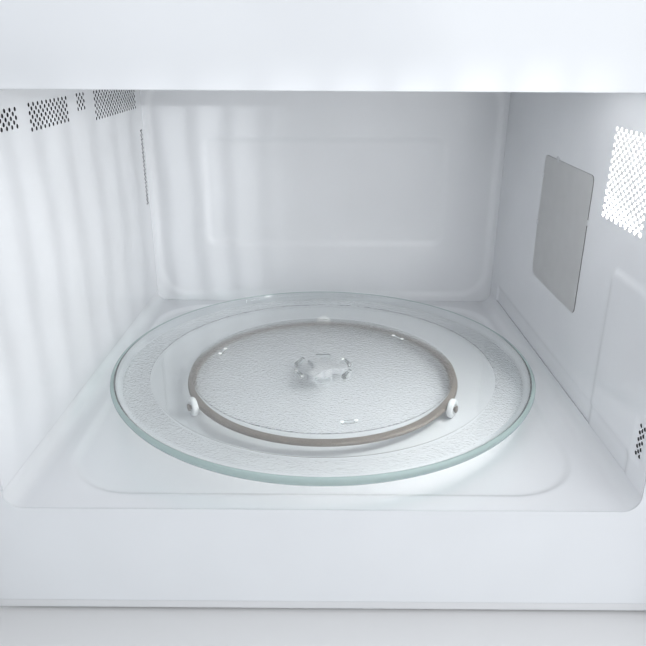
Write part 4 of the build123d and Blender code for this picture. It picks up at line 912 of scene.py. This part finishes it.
row = screen_pitch * 0.75 ** 0.5
bm = bmesh.new()
bmesh.ops.create_circle(bm, segments=6, radius=screen_pitch / 3 ** 0.5)
bmesh.ops.create_circle(bm, segments=6, radius=screen_hole)
bmesh.ops.bridge_loops(bm, edges=bm.edges[:])
repeated(bm, (screen_pitch / 2, row, 0.0), 1)
repeated(bm, (screen_pitch, 0.0, 0.0), 7)
repeated(bm, (0.0, 2 * row, 0.0), 6)
bmesh.ops.translate(bm, verts=bm.verts[:], vec=(-64 * screen_pitch, -64 * row, 0.0))
trimmed(bm, field_width / 2, field_height / 2)
bmesh.ops.remove_doubles(bm, verts=bm.verts[:], dist=0.001 * mm)
for low, high in (((-screen_width, -screen_height), (-field_width, screen_height)),
                  ((field_width, -screen_height), (screen_width, screen_height)),
                  ((-field_width, -screen_height), (field_width, -field_height)),
                  ((-field_width, field_height), (field_width, screen_height))):
    middle = Vector(((low[0] + high[0]) / 4, (low[1] + high[1]) / 4, 0.0))
    spread = Matrix.Diagonal(((high[0] - low[0]) / 2, (high[1] - low[1]) / 2, 1.0, 1.0))
    place = Matrix.Translation(middle) @ spread
    bmesh.ops.create_grid(bm, x_segments=1, y_segments=1, size=0.5, matrix=place)
bmesh.ops.recalc_face_normals(bm, faces=bm.faces[:])
place = door_place(axis_x - hinge_x, floor_z + wall_height / 2, choke_depth + screen_thick / 2)
bmesh.ops.transform(bm, verts=bm.verts[:], matrix=place)
piece("door_mesh", bm, [choke_steel], "door", ["door_screen"])

# Marks printed on the control panel, and the clock's digits

mark_lift = 0.03 * mm
tick_circle = 27.0 * mm
tick_size = (0.9 * mm, 3.0 * mm)
digit_size = (10.0 * mm, 18.0 * mm)
digit_stroke = 2.0 * mm
digit_gap = 0.4 * mm


def panel_place(node):
    """Matrix of a plane just in front of a node's front face: X to the right, Y up, Z towards the user."""
    low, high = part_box(node)
    at = ((low.x + high.x) / 2, low.y - mark_lift, (low.z + high.z) / 2)
    return Matrix.Translation(at) @ Matrix.Rotation(pi / 2, 4, "X")


def strip(bm, place, x, y, width, height, turn=0.0):
    """A flat strip about a place on a plane."""
    spot = place @ Matrix.Translation((x, y, 0.0)) @ Matrix.Rotation(turn, 4, "Z")
    size = Matrix.Diagonal((width, height, 1.0, 1.0))
    bmesh.ops.create_grid(bm, x_segments=1, y_segments=1, size=0.5, matrix=spot @ size)


def digit(bm, place, x, lit):
    """A digit of seven strips: a at its top, then clockwise to f, with g across its middle."""
    side, half = digit_size[0] / 2, digit_size[1] / 2
    flat = (digit_size[0] - digit_stroke - 2 * digit_gap, digit_stroke)
    tall = (digit_stroke, half - digit_stroke - 2 * digit_gap)
    strips = {
        "a": (0.0, half, flat), "b": (side, half / 2, tall), "c": (side, -half / 2, tall),
        "d": (0.0, -half, flat), "e": (-side, -half / 2, tall), "f": (-side, half / 2, tall),
        "g": (0.0, 0.0, flat),
    }
    for letter in lit:
        along, up, size = strips[letter]
        strip(bm, place, x + along, up, *size)


print_grey = moulded("print_grey", (0.16, 0.17, 0.18), 0.5, edge=0.0)
digit_glow = finish("digit_glow", (0.35, 0.75, 0.68), 0.4,
                    Emission_Color=(0.35, 1.0, 0.85, 1.0), Emission_Strength=0.9)
colour_between(digit_glow, noise(digit_glow, 3 * mm), (0.30, 0.68, 0.62), (0.40, 0.82, 0.75))

bm = bmesh.new()
place = panel_place("display_window")
digit_inner = 14.0 * mm
digit_outer = 32.0 * mm
colon_up = 4.0 * mm
shown = ((-digit_outer, "bc"), (-digit_inner, "abged"), (digit_inner, "abcdef"), (digit_outer, "abcdef"))
for x, lit in shown:
    digit(bm, place, x, lit)
for up in (-colon_up, colon_up):
    strip(bm, place, 0.0, up, digit_stroke, digit_stroke)
piece("clock_digits", bm, [digit_glow], "housing")

bm = bmesh.new()
knob_low, knob_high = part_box("selector_knob")
fascia_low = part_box("control_fascia")[0]
knob_centre = ((knob_low.x + knob_high.x) / 2, fascia_low.y - mark_lift, (knob_low.z + knob_high.z) / 2)
place = Matrix.Translation(knob_centre) @ Matrix.Rotation(pi / 2, 4, "X")
tick_count = 11
first_tick = 225.0
tick_turn = 27.0
for tick in range(tick_count):
    turn = radians(first_tick - tick_turn * tick)
    strip(bm, place, tick_circle * cos(turn), tick_circle * sin(turn), *tick_size, turn - pi / 2)
piece("knob_ticks", bm, [print_grey], "housing")

icon = 8.0 * mm
stroke = 0.9 * mm
hand = 0.8 * mm
bm = bmesh.new()
place = panel_place("clock_button")
bmesh.ops.create_circle(bm, segments=32, radius=icon / 2, matrix=place)
bmesh.ops.create_circle(bm, segments=32, radius=icon / 2 - stroke, matrix=place)
bmesh.ops.bridge_loops(bm, edges=bm.edges[:])
strip(bm, place, 0.0, icon / 8, hand, icon / 4)
strip(bm, place, icon / 10, 0.0, icon / 4, hand)
piece("clock_mark", bm, [print_grey], "clock_key")

bm = bmesh.new()
place = panel_place("power_button")
for step in range(4):
    height = icon * (step + 1) / 4
    strip(bm, place, (step - 1.5) * icon / 3, (height - icon) / 2, icon / 6, height)
piece("power_mark", bm, [print_grey], "power_key")

bm = bmesh.new()
strip(bm, panel_place("stop_button"), 0.0, 0.0, icon * 0.8, icon * 0.8)
piece("stop_mark", bm, [print_grey], "stop_key")

bm = bmesh.new()
place = panel_place("start_button") @ Matrix.Rotation(-pi / 2, 4, "Z")
bmesh.ops.create_circle(bm, cap_ends=True, segments=3, radius=icon * 0.6, matrix=place)
piece("start_mark", bm, [print_grey], "start_key")

bm = bmesh.new()
place = panel_place("door_button")
strip(bm, place, 0.0, -icon / 4, icon * 1.6, stroke)
strip(bm, place, 0.0, icon / 4, icon * 1.6, stroke)
piece("door_mark", bm, [print_grey], "door_key")

# Stage

stage_half = 4.0
bm = bmesh.new()
bmesh.ops.create_grid(bm, x_segments=1, y_segments=1, size=stage_half)
mesh = bpy.data.meshes.new("stage_floor")
bm.to_mesh(mesh)
bm.free()
stage = bpy.data.objects.new("stage_floor", mesh)
bpy.context.scene.collection.objects.link(stage)
stage_paint = finish("stage_paint", (0.80, 0.80, 0.80), 0.6)
mesh.materials.append(stage_paint)

world = bpy.data.worlds.new("studio")
bpy.context.scene.world = world
world.use_nodes = True
tree = world.node_tree
backdrop = tree.nodes["Background"]
backdrop.inputs["Color"].default_value = (0.93, 0.96, 1.0, 1.0)
backdrop.inputs["Strength"].default_value = 0.95
seen = tree.nodes.new("ShaderNodeBackground")
seen.inputs["Color"].default_value = (1.0, 1.0, 1.0, 1.0)
seen.inputs["Strength"].default_value = 1.0
rays = tree.nodes.new("ShaderNodeLightPath")
mix = tree.nodes.new("ShaderNodeMixShader")
tree.links.new(rays.outputs["Is Camera Ray"], mix.inputs["Fac"])
tree.links.new(backdrop.outputs["Background"], mix.inputs[1])
tree.links.new(seen.outputs["Background"], mix.inputs[2])
tree.links.new(mix.outputs["Shader"], tree.nodes["World Output"].inputs["Surface"])


def lamp(name, place, aim, size, power, colour=(1.0, 1.0, 1.0), size_y=None, seen_by_camera=True):
    data = bpy.data.lights.new(name, "AREA")
    data.shape = "RECTANGLE"
    data.size = size
    data.size_y = size_y or size
    data.energy = power
    data.color = colour
    made = bpy.data.objects.new(name, data)
    made.location = place
    made.rotation_euler = (Vector(aim) - Vector(place)).to_track_quat("-Z", "Y").to_euler()
    made.visible_camera = seen_by_camera
    bpy.context.scene.collection.objects.link(made)
    return made


def striped(made, shift, bands, low, high, limits):
    """Light through a blind: soft bands, a little wavy, across a beam that fades out at its limits."""
    made.data.use_nodes = True
    tree = made.data.node_tree
    place = tree.nodes.new("ShaderNodeTexCoord")
    mapping = tree.nodes.new("ShaderNodeMapping")
    mapping.inputs["Location"].default_value = (shift, 0.0, 0.0)
    wave = tree.nodes.new("ShaderNodeTexWave")
    wave.inputs["Scale"].default_value = bands
    waviness = 1.2
    wave.inputs["Distortion"].default_value = waviness
    wave.inputs["Detail"].default_value = 0.0
    wave.inputs["Detail Scale"].default_value = waviness
    spread = tree.nodes.new("ShaderNodeMapRange")
    spread.inputs["From Max"].default_value = 0.6
    spread.inputs["To Min"].default_value = low
    spread.inputs["To Max"].default_value = high
    tree.links.new(place.outputs["Normal"], mapping.inputs["Vector"])
    tree.links.new(mapping.outputs["Vector"], wave.inputs["Vector"])
    tree.links.new(wave.outputs["Fac"], spread.inputs["Value"])
    across = tree.nodes.new("ShaderNodeSeparateXYZ")
    tree.links.new(place.outputs["Normal"], across.inputs["Vector"])
    light = spread.outputs["Result"]
    for axis, dark, full in limits:
        fade = tree.nodes.new("ShaderNodeMapRange")
        fade.interpolation_type = "SMOOTHSTEP"
        fade.inputs["From Min"].default_value = dark
        fade.inputs["From Max"].default_value = full
        tree.links.new(across.outputs[axis], fade.inputs["Value"])
        product = tree.nodes.new("ShaderNodeMath")
        product.operation = "MULTIPLY"
        tree.links.new(light, product.inputs[0])
        tree.links.new(fade.outputs["Result"], product.inputs[1])
        light = product.outputs["Value"]
    tree.links.new(light, tree.nodes["Emission"].inputs["Strength"])


mouth = Vector((axis_x, 0.0, floor_z + 0.1))
window_place = (0.9, -1.5, 0.75)
window_width, window_height = 1.7, 1.3
lamp("window", window_place, mouth, window_width, 8.5, (0.97, 0.985, 1.0), window_height,
     seen_by_camera=False)

oven_place = wall_at(1, lamp_middle, lamp_height, -1.5 * mm)
oven_aim = oven_place - Vector((1.0, 0.0, 0.1))
oven = lamp("oven_lamp", oven_place, oven_aim, lamp_patch, 0.38, (1.0, 0.99, 0.97), seen_by_camera=False)
oven.visible_glossy = False

fill_place = (-0.9, -1.0, 0.55)
fill_aim = wall_at(1, 200 * mm, 120 * mm)
fill = lamp("fill", fill_place, fill_aim, 0.9, 4.3, (1.0, 0.96, 1.0), seen_by_camera=False)
fill.visible_glossy = False

# Daylight through a blind, across the left wall. Its tiny source keeps the bands apart.
blind_aim = Vector((-0.245, 0.235, 0.21))
blind = bpy.data.objects.new("blind", bpy.data.lights.new("blind", "SPOT"))
blind.data.energy = 43.0
blind.data.color = (0.97, 0.99, 1.0)
blind.data.spot_size = radians(22.0)
blind.data.spot_blend = 1.0
blind.data.shadow_soft_size = 0.004
blind.location = (0.75, -1.25, 0.42)
blind.rotation_euler = (blind_aim - blind.location).to_track_quat("-Z", "Y").to_euler()
blind.visible_glossy = False
bpy.context.scene.collection.objects.link(blind)
band_shift = -0.0045
band_scale = 19.76
darkest_band = 0.32
beam_limits = (("X", -0.092, -0.080), ("X", 0.105, 0.055), ("Y", 0.048, 0.026), ("Y", -0.105, -0.050))
striped(blind, band_shift, band_scale, darkest_band, 1.0, beam_limits)

# Camera at the photograph's place

camera_data = bpy.data.cameras.new("camera")
camera = bpy.data.objects.new("camera", camera_data)
bpy.context.scene.collection.objects.link(camera)
picture = 646.0
focal_pixels = 683.3
sensor = 36.0
camera_data.sensor_width = sensor
camera_data.lens = sensor * focal_pixels / picture
camera_data.clip_start = 0.01
camera.location = (-75.2 * mm, -322.7 * mm, 318.3 * mm)
camera_yaw, camera_pitch, camera_roll = radians(-0.108), radians(22.033), radians(-0.333)
aim = Euler((pi / 2 - camera_pitch, 0.0, -camera_yaw)).to_matrix()
camera.rotation_euler = (aim @ Euler((0.0, 0.0, -camera_roll)).to_matrix()).to_euler()
bpy.context.scene.camera = camera
bpy.context.scene.view_settings.view_transform = "Standard"
